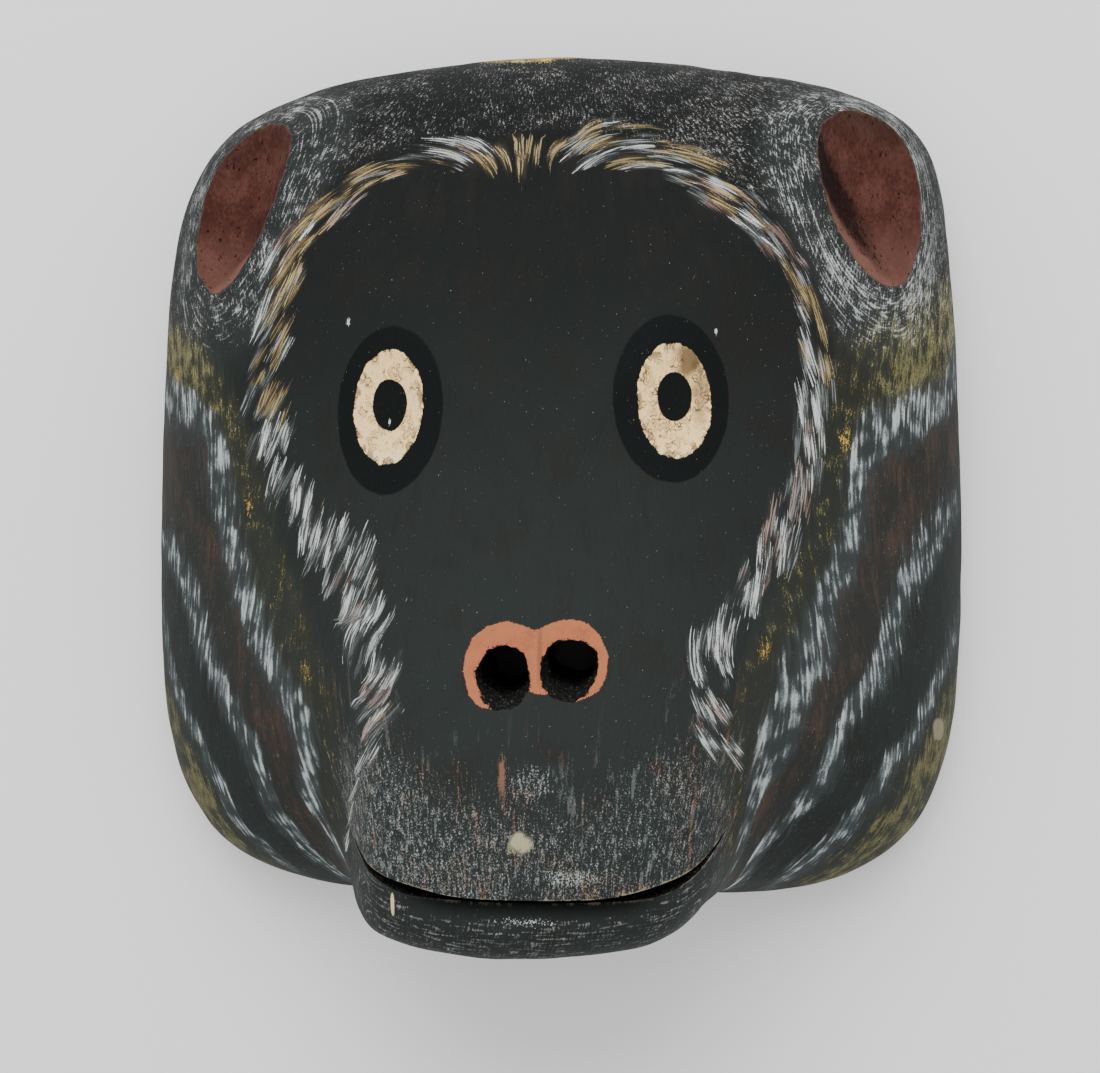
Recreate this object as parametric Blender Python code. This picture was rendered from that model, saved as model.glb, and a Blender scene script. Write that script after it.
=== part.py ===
"""A carved wooden monkey mask, lying face up on the flat rim of its hollow back.

+Z is the way the face looks, +Y runs from the chin to the forehead and +X is to the right of
someone who looks at the face. The origin is on the plane of the rim, under the middle of the mask.
Sizes are in metres. Places on the carved face are shares of the mask's own half width, half height
and depth, so the carving keeps its proportions when one of these is changed.
"""

import math

import bmesh
import bpy
import numpy as np
from mathutils import Matrix, Vector

# The block that the mask is cut from, rim plane to snout
MASK_WIDTH = 0.190
MASK_HEIGHT = 0.198
SNOUT_DEPTH = 0.101
FOREHEAD_DEPTH = 0.073
CHEEK_DEPTH = 0.064

# The outline of the rim: how square each stretch is, how far the top edge falls to its corners,
# how much narrower the crown is than the jaw, and how high on the head it is widest
TOP_LEFT_SQUARENESS = 5.6
TOP_RIGHT_SQUARENESS = 9.0
JAW_SQUARENESS = 4.45
TOP_EDGE_FALL = 0.14
CROWN_TAPER = 0.082
WIDEST_PLACE = -0.30
TOP_EDGE_BEND = 1.6

# How full the dome of the head is: 1 is a plain ellipse, less is squarer
DOME_FULLNESS = 0.82

# The heights, as shares of the half height, between which the cheeks rise to the forehead
CHEEK_TOP = -0.35
FOREHEAD_BASE = 0.45

# The hollow behind the face: the wood left at the rim and behind the brow, and the deeper pocket
# that makes room for a nose
RIM_WALL = 0.013
BROW_WALL = 0.014
HOLLOW_FULLNESS = 0.85
NOSE_POCKET_DEPTH = 0.020
NOSE_POCKET_PLACE = -0.30
NOSE_POCKET_REACH = 0.30
NOSE_POCKET_EDGE = 0.5

# The middle line of the face from the throat up to the brow, as shares of the half height and of
# the snout's depth. Each station has its place along the head's arc, from -1 at the bottom of the
# rim to 1 at the top.
MIDDLE_LINE = [
    # arc, height, depth
    (-1.00, -0.985, 0.00),
    (-0.88, -0.950, 0.22),
    (-0.77, -0.930, 0.47),
    (-0.68, -0.965, 0.68),
    (-0.61, -1.000, 0.82),
    (-0.55, -0.970, 0.925),
    (-0.49, -0.890, 0.985),
    (-0.42, -0.770, 1.000),
    (-0.33, -0.600, 0.975),
    (-0.22, -0.410, 0.915),
    (-0.06, -0.150, 0.830),
    (0.09, 0.120, 0.765),
    (0.30, 0.430, 0.715),
]
BROW_ARC = 0.52

# The snout's flanks, as shares of the half width: how far out they stand and how softly they fall,
# at the mouth and at the nose bridge, and how much the snout's front falls away to them
MOUTH_FLANK = 0.415
MOUTH_FLANK_SOFTNESS = 0.070
BRIDGE_FLANK = 0.42
BRIDGE_FLANK_SOFTNESS = 0.20
MUZZLE_ARC = -0.42
BRIDGE_ARC = 0.09
SNOUT_FRONT_FALL = 0.10
CHIN_CORNER_FALL = 0.50

# How far the chin is carved out of true, to the left, and where on the arc that begins
CHIN_SKEW = 0.0035
CHIN_SKEW_ARC = -0.48
CHIN_ARC = -0.61

# Ear hollows, each gouged in from the side of the head, with their places, half sizes and leans
EARS = {
    "left": {"place": (-0.716, 0.597), "size": (0.0138, 0.0265), "lean": math.radians(-9)},
    "right": {"place": (0.738, 0.617), "size": (0.0165, 0.0275), "lean": math.radians(6)},
}
EAR_DEPTH = 0.0080

# Eyes, dished where the light rings are painted
EYES = {
    "left": {"place": (-0.331, 0.120), "size": (0.0082, 0.0112), "lean": math.radians(-3)},
    "right": {"place": (0.287, 0.135), "size": (0.0087, 0.0111), "lean": math.radians(3)},
}
EYE_DEPTH = 0.0012

# How far the middle of an ear or eye cutter stands above the face, as a share of its half thickness
GOUGE_LIFT = 0.45

# Nostrils, bored through to the hollow and wider outside
NOSTRIL_PLACES = {"left": (-0.062, -0.419), "right": (0.075, -0.403)}
NOSTRIL_MOUTH_RADIUS = 0.0052
NOSTRIL_INNER_RADIUS = 0.0044
NOSTRIL_RISE = math.radians(3)

# The slit of the mouth: its places on the carved face's grid, and its width and depth
MOUTH_REACH = 0.272
MOUTH_ARC = -0.472
MOUTH_CORNER_ARCS = {"left": -0.480, "right": -0.468}
MOUTH_SLIT = 0.0024
MOUTH_CORNER_SLIT = 0.0004
MOUTH_DEPTH = 0.0085
MOUTH_OVERRUN = 0.0025

# How far the other cutters run past the surface that they cut
CUT_OVERRUN = 0.008

# Counts that set how finely the solid is faceted
FACE_COLUMNS = 50
FACE_ROWS = 50
HOLLOW_CELLS = 22
GOUGE_STEPS = 24
MOUTH_STEPS = 18
SEARCH_ROUNDS = 30
SEARCH_STEP = 0.7
SEARCH_LIMIT = 0.98
SMALL_STEP = 1e-4
SHARP_ANGLE = math.radians(35)

# How much further apart the grid's lines stand at the middle of the face than at the rim
GRID_FAN = 0.5

HALF_WIDTH = MASK_WIDTH / 2
HALF_HEIGHT = MASK_HEIGHT / 2


def smooth_step(low, high, value):
    """Rise from 0 at low to 1 at high, level at both ends."""
    share = np.clip((value - low) / (high - low), 0.0, 1.0)
    return share * share * (3.0 - 2.0 * share)


def read_line(stations, arcs):
    """Read the smooth line through the stations at the given places along the arc."""
    table = np.array(stations)
    knots = table[:, 0]
    values = table[:, 1:]
    slopes = np.gradient(values, knots, axis=0)
    arcs = np.clip(arcs, knots[0], knots[-1])
    first = np.clip(np.searchsorted(knots, arcs) - 1, 0, len(knots) - 2)
    span = (knots[first + 1] - knots[first])[..., None]
    share = (arcs - knots[first])[..., None] / span
    rise = share * share * (3.0 - 2.0 * share)
    leave = share * (1.0 - share) ** 2
    arrive = share * share * (share - 1.0)
    line = values[first] * (1.0 - rise) + values[first + 1] * rise
    return line + span * (slopes[first] * leave + slopes[first + 1] * arrive)


def spread_on_plan(u, v):
    """Turn a place on a square grid, -1 to 1 each way, into a place inside the outline.

    The square is rounded to a disc, and the disc is stretched to the outline. Gives the shares of
    the half width and half height, and how near the rim it is, 0 to 1.
    """
    right = u * np.sqrt(1.0 - v * v / 2.0)
    up = v * np.sqrt(1.0 - u * u / 2.0)
    reach = np.hypot(right, up)
    safe = np.maximum(reach, 1e-9)
    top = np.where(u < 0, TOP_LEFT_SQUARENESS, TOP_RIGHT_SQUARENESS)
    squareness = np.where(v < 0, JAW_SQUARENESS, top)
    norm = np.abs(right / safe) ** squareness + np.abs(up / safe) ** squareness
    stretch = np.maximum(norm, 1e-9) ** (-1.0 / squareness) * np.where(reach > 0, 1.0, 0.0)
    fan = 1.0 + GRID_FAN * (1.0 - reach * reach)
    return right * stretch * fan, up * stretch * fan, reach * fan


def dome(u, v, half_width, half_height, depth, fullness):
    """Give the points of a plain dome over the outline; depth is a function of the height share."""
    across, along, radius = spread_on_plan(u, v)
    crown = (np.maximum(along - WIDEST_PLACE, 0.0) / (1.0 - WIDEST_PLACE)) ** 2
    top = np.maximum(along, 0.0) ** 2
    rise = np.maximum(1.0 - radius ** (2.0 / fullness), 0.0) ** (fullness / 2.0)
    x = across * half_width * (1.0 - CROWN_TAPER * crown)
    y = along * half_height * (1.0 - TOP_EDGE_FALL * top * np.abs(across) ** TOP_EDGE_BEND)
    return np.stack([x, y, depth(along) * rise], axis=-1)


def head_depth(along):
    """Give the depth of the plain head, from the cheeks up to the forehead."""
    return CHEEK_DEPTH + (FOREHEAD_DEPTH - CHEEK_DEPTH) * smooth_step(CHEEK_TOP, FOREHEAD_BASE, along)


def plain_head(u, v):
    """Give the points of the head without its snout."""
    return dome(u, v, HALF_WIDTH, HALF_HEIGHT, head_depth, DOME_FULLNESS)


def face_surface(u, v):
    """Give the points of the carved face, before its ears, eyes, nostrils and mouth are cut."""
    u = np.asarray(u, dtype=float)
    v = np.asarray(v, dtype=float)
    points = plain_head(u, v)
    line = read_line(MIDDLE_LINE, v)
    middle = plain_head(np.zeros_like(v), np.minimum(v, MIDDLE_LINE[-1][0]))
    fade = 1.0 - smooth_step(MIDDLE_LINE[-1][0], BROW_ARC, v)
    push_down = (line[..., 0] * HALF_HEIGHT - middle[..., 1]) * fade
    push_out = (line[..., 1] * SNOUT_DEPTH - middle[..., 2]) * fade
    bridge = smooth_step(MUZZLE_ARC, BRIDGE_ARC, v)
    flank = MOUTH_FLANK + (BRIDGE_FLANK - MOUTH_FLANK) * bridge
    softness = MOUTH_FLANK_SOFTNESS + (BRIDGE_FLANK_SOFTNESS - MOUTH_FLANK_SOFTNESS) * bridge
    side = np.abs(points[..., 0]) / HALF_WIDTH
    snout = (1.0 - np.tanh((side - flank) / softness)) / (1.0 + np.tanh(flank / softness))
    bend = np.minimum(side / flank, 1.0) ** 2
    points[..., 0] -= CHIN_SKEW * snout * smooth_step(CHIN_SKEW_ARC, CHIN_ARC, v)
    points[..., 1] += push_down * snout * (1.0 - CHIN_CORNER_FALL * bend)
    points[..., 2] += push_out * snout * (1.0 - SNOUT_FRONT_FALL * bend)
    return points


def hollow_surface(u, v):
    """Give the points of the hollow behind the face."""
    half_width = HALF_WIDTH - RIM_WALL
    half_height = HALF_HEIGHT - RIM_WALL
    points = dome(u, v, half_width, half_height, lambda along: head_depth(along) - BROW_WALL,
                  HOLLOW_FULLNESS)
    across = points[..., 0] / HALF_WIDTH
    along = points[..., 1] / HALF_HEIGHT - NOSE_POCKET_PLACE
    pocket = np.exp(-(across ** 2 + along ** 2) / NOSE_POCKET_REACH ** 2)
    edge = smooth_step(0.0, NOSE_POCKET_EDGE, points[..., 2] / CHEEK_DEPTH)
    points[..., 2] += NOSE_POCKET_DEPTH * pocket * edge
    return points


def face_frame(u, v):
    """Give the point of the face at a place on the grid, and its outward normal."""
    here = face_surface(u, v)
    right = face_surface(u + SMALL_STEP, v) - here
    up = face_surface(u, v + SMALL_STEP) - here
    return Vector(here), Vector(np.cross(right, up)).normalized()


def find_on_face(across, along):
    """Find the place on the grid whose point has these shares of the half width and height."""
    wanted = np.array([across * HALF_WIDTH, along * HALF_HEIGHT])
    spot = np.array([across, along]) * SEARCH_STEP
    for _ in range(SEARCH_ROUNDS):
        here = face_surface(*spot)
        right = face_surface(spot[0] + SMALL_STEP, spot[1]) - here
        up = face_surface(spot[0], spot[1] + SMALL_STEP) - here
        slope = np.stack([right[:2], up[:2]], axis=1) / SMALL_STEP
        move = SEARCH_STEP * np.linalg.solve(slope, wanted - here[:2])
        spot = np.clip(spot + move, -SEARCH_LIMIT, SEARCH_LIMIT)
    return spot


def lay_grid(columns, rows, surface):
    """Make a grid primitive and lay its vertices on a surface."""
    shape = bmesh.new()
    bmesh.ops.create_grid(shape, x_segments=columns, y_segments=rows, size=1.0)
    places = np.array([vert.co[:2] for vert in shape.verts])
    for vert, point in zip(shape.verts, surface(places[:, 0], places[:, 1])):
        vert.co = point
    return shape


def close_below(shape, drop):
    """Draw the open edge of a grid down by drop and close it with one flat face."""
    rim = [edge for edge in shape.edges if edge.is_boundary]
    if drop > 0:
        made = bmesh.ops.extrude_edge_only(shape, edges=rim)["geom"]
        for vert in (item for item in made if isinstance(item, bmesh.types.BMVert)):
            vert.co.z -= drop
        rim = [edge for edge in shape.edges if edge.is_boundary]
    bmesh.ops.edgeloop_fill(shape, edges=rim)
    bmesh.ops.recalc_face_normals(shape, faces=shape.faces)


def add_object(name, shape, material, collection):
    """Turn a bmesh into a smooth shaded object of flat triangles with its material."""
    bmesh.ops.triangulate(shape, faces=shape.faces)
    mesh = bpy.data.meshes.new(name)
    shape.to_mesh(mesh)
    shape.free()
    mesh.materials.append(material)
    mesh.shade_smooth()
    mesh.set_sharp_from_angle(angle=SHARP_ANGLE)
    thing = bpy.data.objects.new(name, mesh)
    collection.objects.link(thing)
    return thing


def add_material(name, color, roughness):
    """Make a matt material from a linear colour and a roughness."""
    material = bpy.data.materials.new(name)
    material.use_nodes = True
    shader = material.node_tree.nodes["Principled BSDF"]
    shader.inputs["Base Color"].default_value = (*color, 1.0)
    shader.inputs["Roughness"].default_value = roughness
    shader.inputs["Metallic"].default_value = 0.0
    return material


def turn_to(normal, lean):
    """Give the turn that lays a cutter's Z along the normal, with its Y up the face and leaning."""
    forward = normal
    side = Vector((0.0, 1.0, 0.0)).cross(forward).normalized()
    up = forward.cross(side)
    basis = Matrix((side, up, forward)).transposed().to_4x4()
    return basis @ Matrix.Rotation(lean, 4, "Z")


def gouge(name, cut, depth, material, collection):
    """Make an egg shaped cutter that sinks to depth below the face and stands partly above it."""
    centre, normal = face_frame(*find_on_face(*cut["place"]))
    half_thickness = depth / (1.0 - GOUGE_LIFT)
    centre += normal * half_thickness * GOUGE_LIFT
    spread = 1.0 / math.sqrt(1.0 - GOUGE_LIFT ** 2)
    half_width, half_height = (half * spread for half in cut["size"])
    shape = bmesh.new()
    bmesh.ops.create_uvsphere(shape, u_segments=GOUGE_STEPS, v_segments=GOUGE_STEPS // 2, radius=1.0)
    size = Matrix.Diagonal((half_width, half_height, half_thickness, 1.0))
    place = Matrix.Translation(centre) @ turn_to(normal, cut["lean"]) @ size
    bmesh.ops.transform(shape, matrix=place, verts=shape.verts)
    return add_object(name, shape, material, collection)


def bore_nostril(name, place, material, collection):
    """Make the tapered cutter of one nostril, from in front of the nose into the hollow."""
    centre, _ = face_frame(*find_on_face(*place))
    ceiling = CHEEK_DEPTH - BROW_WALL
    length = centre.z - ceiling + CUT_OVERRUN
    taper = (NOSTRIL_MOUTH_RADIUS - NOSTRIL_INNER_RADIUS) / (centre.z - ceiling)
    shape = bmesh.new()
    bmesh.ops.create_cone(
        shape, cap_ends=True, segments=GOUGE_STEPS, depth=length + CUT_OVERRUN,
        radius1=NOSTRIL_INNER_RADIUS - taper * CUT_OVERRUN,
        radius2=NOSTRIL_MOUTH_RADIUS + taper * CUT_OVERRUN)
    middle = Matrix.Translation((0.0, 0.0, (CUT_OVERRUN - length) / 2.0))
    place = Matrix.Translation(centre) @ Matrix.Rotation(NOSTRIL_RISE, 4, "X") @ middle
    bmesh.ops.transform(shape, matrix=place, verts=shape.verts)
    return add_object(name, shape, material, collection)


def mouth_place(share):
    """Give the place on the grid at this share of the way from the mouth's middle to a corner."""
    corner = MOUTH_CORNER_ARCS["left" if share < 0 else "right"]
    arc = MOUTH_ARC + (corner - MOUTH_ARC) * share ** 4
    return share * MOUTH_REACH, arc


def cut_mouth(name, material, collection):
    """Make the curved blade that cuts the slit of the mouth square to the face."""
    shape = bmesh.new()
    bmesh.ops.create_cube(shape, size=2.0)
    long_edges = [edge for edge in shape.edges
                  if abs(edge.verts[0].co.x - edge.verts[1].co.x) > 1.0]
    bmesh.ops.subdivide_edges(shape, edges=long_edges, cuts=MOUTH_STEPS - 1)
    for vert in shape.verts:
        share, side, out = vert.co
        centre, normal = face_frame(*mouth_place(share))
        along, _ = face_frame(*mouth_place(share + SMALL_STEP))
        up = normal.cross(along - centre).normalized()
        gap = MOUTH_CORNER_SLIT + (MOUTH_SLIT - MOUTH_CORNER_SLIT) * (1.0 - share ** 4)
        reach = MOUTH_OVERRUN if out > 0 else -MOUTH_DEPTH
        vert.co = centre + normal * reach + up * side * gap / 2.0
    bmesh.ops.recalc_face_normals(shape, faces=shape.faces)
    return add_object(name, shape, material, collection)


def cut_away(body, cutter):
    """Cut the cutter's shape out of the body."""
    cutter.hide_render = True
    cutter.display_type = "WIRE"
    cut = body.modifiers.new(cutter.name, "BOOLEAN")
    cut.operation = "DIFFERENCE"
    cut.solver = "EXACT"
    cut.material_mode = "TRANSFER"
    cut.object = cutter


def main():
    """Carve the mask."""
    for thing in list(bpy.data.objects):
        bpy.data.objects.remove(thing)
    parts = bpy.data.collections.new("monkey_mask")
    cutters = bpy.data.collections.new("cutters")
    bpy.context.scene.collection.children.link(parts)
    bpy.context.scene.collection.children.link(cutters)

    paint = add_material("slate_black_paint", (0.028, 0.036, 0.034), 0.7)
    wood = add_material("bare_wood", (0.42, 0.28, 0.16), 0.8)
    ear_red = add_material("ear_red_paint", (0.17, 0.045, 0.038), 0.8)
    cream = add_material("eye_cream_paint", (0.72, 0.56, 0.36), 0.6)

    block = lay_grid(FACE_COLUMNS, FACE_ROWS, face_surface)
    close_below(block, 0.0)
    body = add_object("mask_body", block, paint, parts)

    hollow = lay_grid(HOLLOW_CELLS, HOLLOW_CELLS, hollow_surface)
    close_below(hollow, CUT_OVERRUN)
    cut_away(body, add_object("hollow_cutter", hollow, wood, cutters))

    for side in ("left", "right"):
        cut_away(body, gouge(f"{side}_ear_cutter", EARS[side], EAR_DEPTH, ear_red, cutters))
        cut_away(body, gouge(f"{side}_eye_cutter", EYES[side], EYE_DEPTH, cream, cutters))
        nostril = bore_nostril(f"{side}_nostril_cutter", NOSTRIL_PLACES[side], paint, cutters)
        cut_away(body, nostril)
    cut_away(body, cut_mouth("mouth_cutter", paint, cutters))


main()
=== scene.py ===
"""The looks of a carved and painted monkey mask that lies face up on a pale floor.

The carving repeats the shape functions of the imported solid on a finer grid, then takes its ears,
eyes, nostrils, mouth and hollow back with the same cutters. The paint is worked out from places on
the carved face, which are stored on the mesh as attributes, and from nodes that read them.
Lengths are in metres unless a name says millimetres.
"""

import math

import bpy
import numpy as np
from mathutils import Matrix, Vector
from mathutils.kdtree import KDTree


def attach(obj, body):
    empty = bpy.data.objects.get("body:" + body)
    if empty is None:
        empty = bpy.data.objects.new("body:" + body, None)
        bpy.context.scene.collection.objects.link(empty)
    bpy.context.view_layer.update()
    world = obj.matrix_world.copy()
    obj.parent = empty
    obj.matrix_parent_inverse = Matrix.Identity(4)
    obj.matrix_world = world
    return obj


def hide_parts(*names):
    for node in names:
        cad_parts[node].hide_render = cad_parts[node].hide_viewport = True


# The block that the mask is cut from, rim plane to snout
MASK_WIDTH = 0.190
MASK_HEIGHT = 0.198
SNOUT_DEPTH = 0.101
FOREHEAD_DEPTH = 0.073
CHEEK_DEPTH = 0.064
HALF_WIDTH = MASK_WIDTH / 2
HALF_HEIGHT = MASK_HEIGHT / 2

# The outline of the rim, and the dome of the head
TOP_LEFT_SQUARENESS = 5.6
TOP_RIGHT_SQUARENESS = 9.0
JAW_SQUARENESS = 4.45
TOP_EDGE_FALL = 0.14
CROWN_TAPER = 0.082
WIDEST_PLACE = -0.30
TOP_EDGE_BEND = 1.6
DOME_FULLNESS = 0.82
CHEEK_TOP = -0.35
FOREHEAD_BASE = 0.45
GRID_FAN = 0.5

# The hollow behind the face
RIM_WALL = 0.013
BROW_WALL = 0.014
HOLLOW_FULLNESS = 0.85
NOSE_POCKET_DEPTH = 0.020
NOSE_POCKET_PLACE = -0.30
NOSE_POCKET_REACH = 0.30
NOSE_POCKET_EDGE = 0.5

# The middle line of the face from the throat up to the brow: place on the head's arc, height as a
# share of the half height, and depth as a share of the snout's depth
MIDDLE_LINE = [
    (-1.00, -0.985, 0.00),
    (-0.88, -0.950, 0.22),
    (-0.77, -0.930, 0.47),
    (-0.68, -0.965, 0.68),
    (-0.61, -1.000, 0.82),
    (-0.55, -0.970, 0.925),
    (-0.49, -0.890, 0.985),
    (-0.42, -0.770, 1.000),
    (-0.33, -0.600, 0.975),
    (-0.22, -0.410, 0.915),
    (-0.06, -0.150, 0.830),
    (0.09, 0.120, 0.765),
    (0.30, 0.430, 0.715),
]
BROW_ARC = 0.52

# The snout's flanks, and how its front and the chin's corners fall away to them
MOUTH_FLANK = 0.415
MOUTH_FLANK_SOFTNESS = 0.070
BRIDGE_FLANK = 0.42
BRIDGE_FLANK_SOFTNESS = 0.20
MUZZLE_ARC = -0.42
BRIDGE_ARC = 0.09
SNOUT_FRONT_FALL = 0.10
CHIN_CORNER_FALL = 0.50
CHIN_SKEW = 0.0035
CHIN_SKEW_ARC = -0.48
CHIN_ARC = -0.61

# Ears, eyes, nostrils and mouth, with places as shares of the half width and half height
EARS = {
    "left": {"place": (-0.720, 0.606), "size": (0.0134, 0.0275), "lean": math.radians(-9)},
    "right": {"place": (0.735, 0.634), "size": (0.0170, 0.0293), "lean": math.radians(6)},
}
EAR_DEPTH = 0.0080
EYES = {
    "left": {"place": (-0.331, 0.120), "size": (0.0082, 0.0112), "lean": math.radians(-3)},
    "right": {"place": (0.287, 0.135), "size": (0.0087, 0.0111), "lean": math.radians(3)},
}
EYE_DEPTH = 0.0012
GOUGE_LIFT = 0.45
NOSTRIL_PLACES = {"left": (-0.062, -0.419), "right": (0.075, -0.403)}
NOSTRIL_MOUTH_RADIUS = 0.0052
NOSTRIL_INNER_RADIUS = 0.0044
NOSTRIL_RISE = math.radians(3)
MOUTH_REACH = 0.272
MOUTH_ARC = -0.472
MOUTH_CORNER_ARCS = {"left": -0.460, "right": -0.447}
MOUTH_SLIT = 0.0024
MOUTH_CORNER_SLIT = 0.0004
MOUTH_DEPTH = 0.0085
MOUTH_OVERRUN = 0.0025
CUT_OVERRUN = 0.008

# The carver's touch: how uneven the face is, how the lower lip rolls inward at the slit, the
# scallops of the gouge in the hollow, and the flare of the nostrils
FACE_UNEVENNESS = 0.00035
LIP_ROLL = 0.0036
LIP_ROLL_REACH = 0.0085
LIP_ROLL_FADE = 0.020
LIP_ROLL_END = 0.034
MOUTH_MIDDLE_GAPE = 0.65
MOUTH_SIDE_GAPE = 0.8
MOUTH_SIDE_PLACE = 0.72
MOUTH_SIDE_REACH = 0.2
HOLLOW_SCALLOP = 0.0005
EAR_ROUGHNESS = 0.00045
EYE_ROUGHNESS = 0.00010
EAR_PULLS = {"left": -0.11, "right": 0.22}
NOSTRIL_FLARE = 0.0007
NOSTRIL_FLARE_DEPTH = 0.004
NOSTRIL_FLARE_TURN = 0.35

# The lengths of the uneven waves in millimetres, how the finer waves of a gouge are stretched, and
# for the nostrils the height of each wave in metres and the radius in millimetres it runs round
FACE_WAVES = (26.0, 11.0)
HOLLOW_WAVE = 14.0
GOUGE_WAVES = (7.0, 2.2)
GOUGE_TEAR = (1.0, 0.45, 1.0)
NOSTRIL_WAVES = ((7.0, 0.00022), (1.6, 0.00018))
NOSTRIL_SEEDS = {"left": 21, "right": 23}
NOSTRIL_WAVE_RADIUS = 5.0

# The scallops of the hollow, in shares of its half size: how far they reach, their spacing, how far
# each is shifted, their stretch and the square of their radius; and where they and the unevenness of
# the face fade out above the rim, in metres
SCALLOP_EDGE = 1.15
SCALLOP_SPACING = 0.085
SCALLOP_SHIFT = 0.035
SCALLOP_STRETCH = (1.4, 1.0)
SCALLOP_SIZE = 0.006
SCALLOP_FADE = (0.004, 0.016)
RIM_FADE = 0.006

# How finely the carving is meshed, how many waves make up an unevenness, the length in
# millimetres that the paint's weave gives to the half width of the grid, how a place on the
# face is searched for, and the angle past which an edge is shaded sharp
WAVE_COUNT = 12
WEAVE_SPAN = 118.0
FACE_COLUMNS = 256
FACE_ROWS = 272
HOLLOW_CELLS = 96
GOUGE_STEPS = 112
NOSTRIL_STEPS = 96
MOUTH_STEPS = 90
SEARCH_ROUNDS = 30
SEARCH_STEP = 0.7
SEARCH_LIMIT = 0.98
SMALL_STEP = 1e-4
SHARP_ANGLE = math.radians(35)

# Millimetres in a metre, and a distance that is more than any on the mask
MILLIMETRES = 1000.0
FAR = 1e9

# The fringe of short brush strokes round the dark plate of the face, from the left corner of the
# muzzle, up over the brow and down to the right corner. Each station on its inner edge has its
# place in millimetres as seen from straight above, the angle of the strokes there in degrees, how
# far the strokes reach from the plate in millimetres, how full they are, and the shares of them
# that are tan and pink.
FRINGE = [
    # x, y, angle, reach, fullness, tan, pink
    (-34.5, -65.5, 60, 4, 0.25, 0.1, 0.1),
    (-31.0, -56.0, 58, 7, 0.55, 0.0, 0.2),
    (-28.0, -49.0, 55, 9, 0.80, 0.1, 0.5),
    (-28.0, -42.5, 60, 9, 0.85, 0.0, 0.3),
    (-30.5, -36.0, 62, 9, 0.85, 0.0, 0.15),
    (-31.0, -30.0, 65, 10, 0.90, 0.0, 0.2),
    (-34.5, -22.5, 66, 10, 0.90, 0.0, 0.25),
    (-42.0, -14.0, 68, 9, 0.85, 0.0, 0.15),
    (-47.5, -9.0, 68, 9, 0.85, 0.1, 0.1),
    (-52.0, -3.5, 68, 8, 0.95, 0.1, 0.05),
    (-54.0, 3.5, 66, 8, 1.0, 0.1, 0.05),
    (-55.0, 13.0, 64, 8, 1.0, 0.2, 0.05),
    (-55.0, 20.0, 62, 8, 1.0, 0.3, 0.05),
    (-54.0, 29.0, 60, 8, 0.90, 0.5, 0.05),
    (-53.0, 37.0, 57, 8, 0.90, 0.6, 0.05),
    (-50.5, 44.5, 52, 7, 0.90, 0.6, 0.1),
    (-44.5, 51.0, 42, 6, 0.85, 0.6, 0.3),
    (-37.5, 58.0, 30, 6, 0.75, 0.7, 0.1),
    (-29.0, 62.5, 5, 7, 0.65, 0.65, 0.0),
    (-20.5, 64.0, -20, 8, 0.68, 0.65, 0.0),
    (-14.0, 64.5, -40, 7, 0.62, 0.5, 0.05),
    (-8.5, 65.0, -80, 5.5, 0.85, 0.7, 0.0),
    (-3.0, 65.5, -100, 5, 0.80, 0.5, 0.1),
    (1.0, 66.5, -120, 6, 0.80, 0.4, 0.0),
    (6.5, 65.5, -135, 7, 0.75, 0.5, 0.0),
    (13.5, 64.5, -158, 9, 0.75, 0.45, 0.0),
    (20.0, 63.0, -175, 9, 0.80, 0.40, 0.0),
    (25.5, 60.5, -194, 8, 0.85, 0.45, 0.05),
    (31.0, 57.0, -205, 8, 0.95, 0.3, 0.05),
    (36.5, 53.0, -214, 7, 0.95, 0.25, 0.1),
    (42.5, 48.0, -225, 6, 0.95, 0.4, 0.2),
    (47.5, 43.0, -235, 6, 0.95, 0.4, 0.4),
    (51.0, 37.0, -244, 5.5, 0.95, 0.5, 0.3),
    (53.0, 30.0, -250, 5.5, 0.90, 0.6, 0.2),
    (53.5, 21.0, -256, 7, 0.95, 0.3, 0.1),
    (53.0, 12.0, -264, 7, 0.95, 0.2, 0.1),
    (52.0, 5.5, -268, 7, 0.95, 0.15, 0.15),
    (50.0, -3.5, -275, 7, 0.85, 0.0, 0.3),
    (47.0, -11.0, -280, 7, 0.85, 0.0, 0.4),
    (42.5, -20.0, -284, 8, 0.70, 0.0, 0.3),
    (37.0, -27.0, -284, 8, 0.85, 0.0, 0.3),
    (33.5, -32.0, -282, 8, 0.85, 0.0, 0.35),
    (31.5, -36.5, -276, 8, 0.80, 0.0, 0.5),
    (30.5, -41.5, -258, 8, 0.80, 0.0, 0.4),
    (31.0, -48.0, -248, 7, 0.70, 0.0, 0.3),
    (33.5, -55.0, -242, 6, 0.50, 0.0, 0.1),
    (39.0, -65.0, -238, 4, 0.15, 0.0, 0.0),
]
FRINGE_SAMPLES = 500
FRINGE_SMOOTHING = 31
FRINGE_CHUNK = 4096

# Flecks of bright yellow: the place and the half sizes in millimetres as seen from straight above
YELLOW_FLECKS = [
    (-84.5, 21.5, 0.7, 1.4), (-64.4, -7.7, 0.6, 1.5), (-50.8, -43.3, 0.5, 1.1),
    (63.4, 6.0, 0.9, 1.9), (46.3, -38.0, 1.0, 1.7),
]

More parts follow.
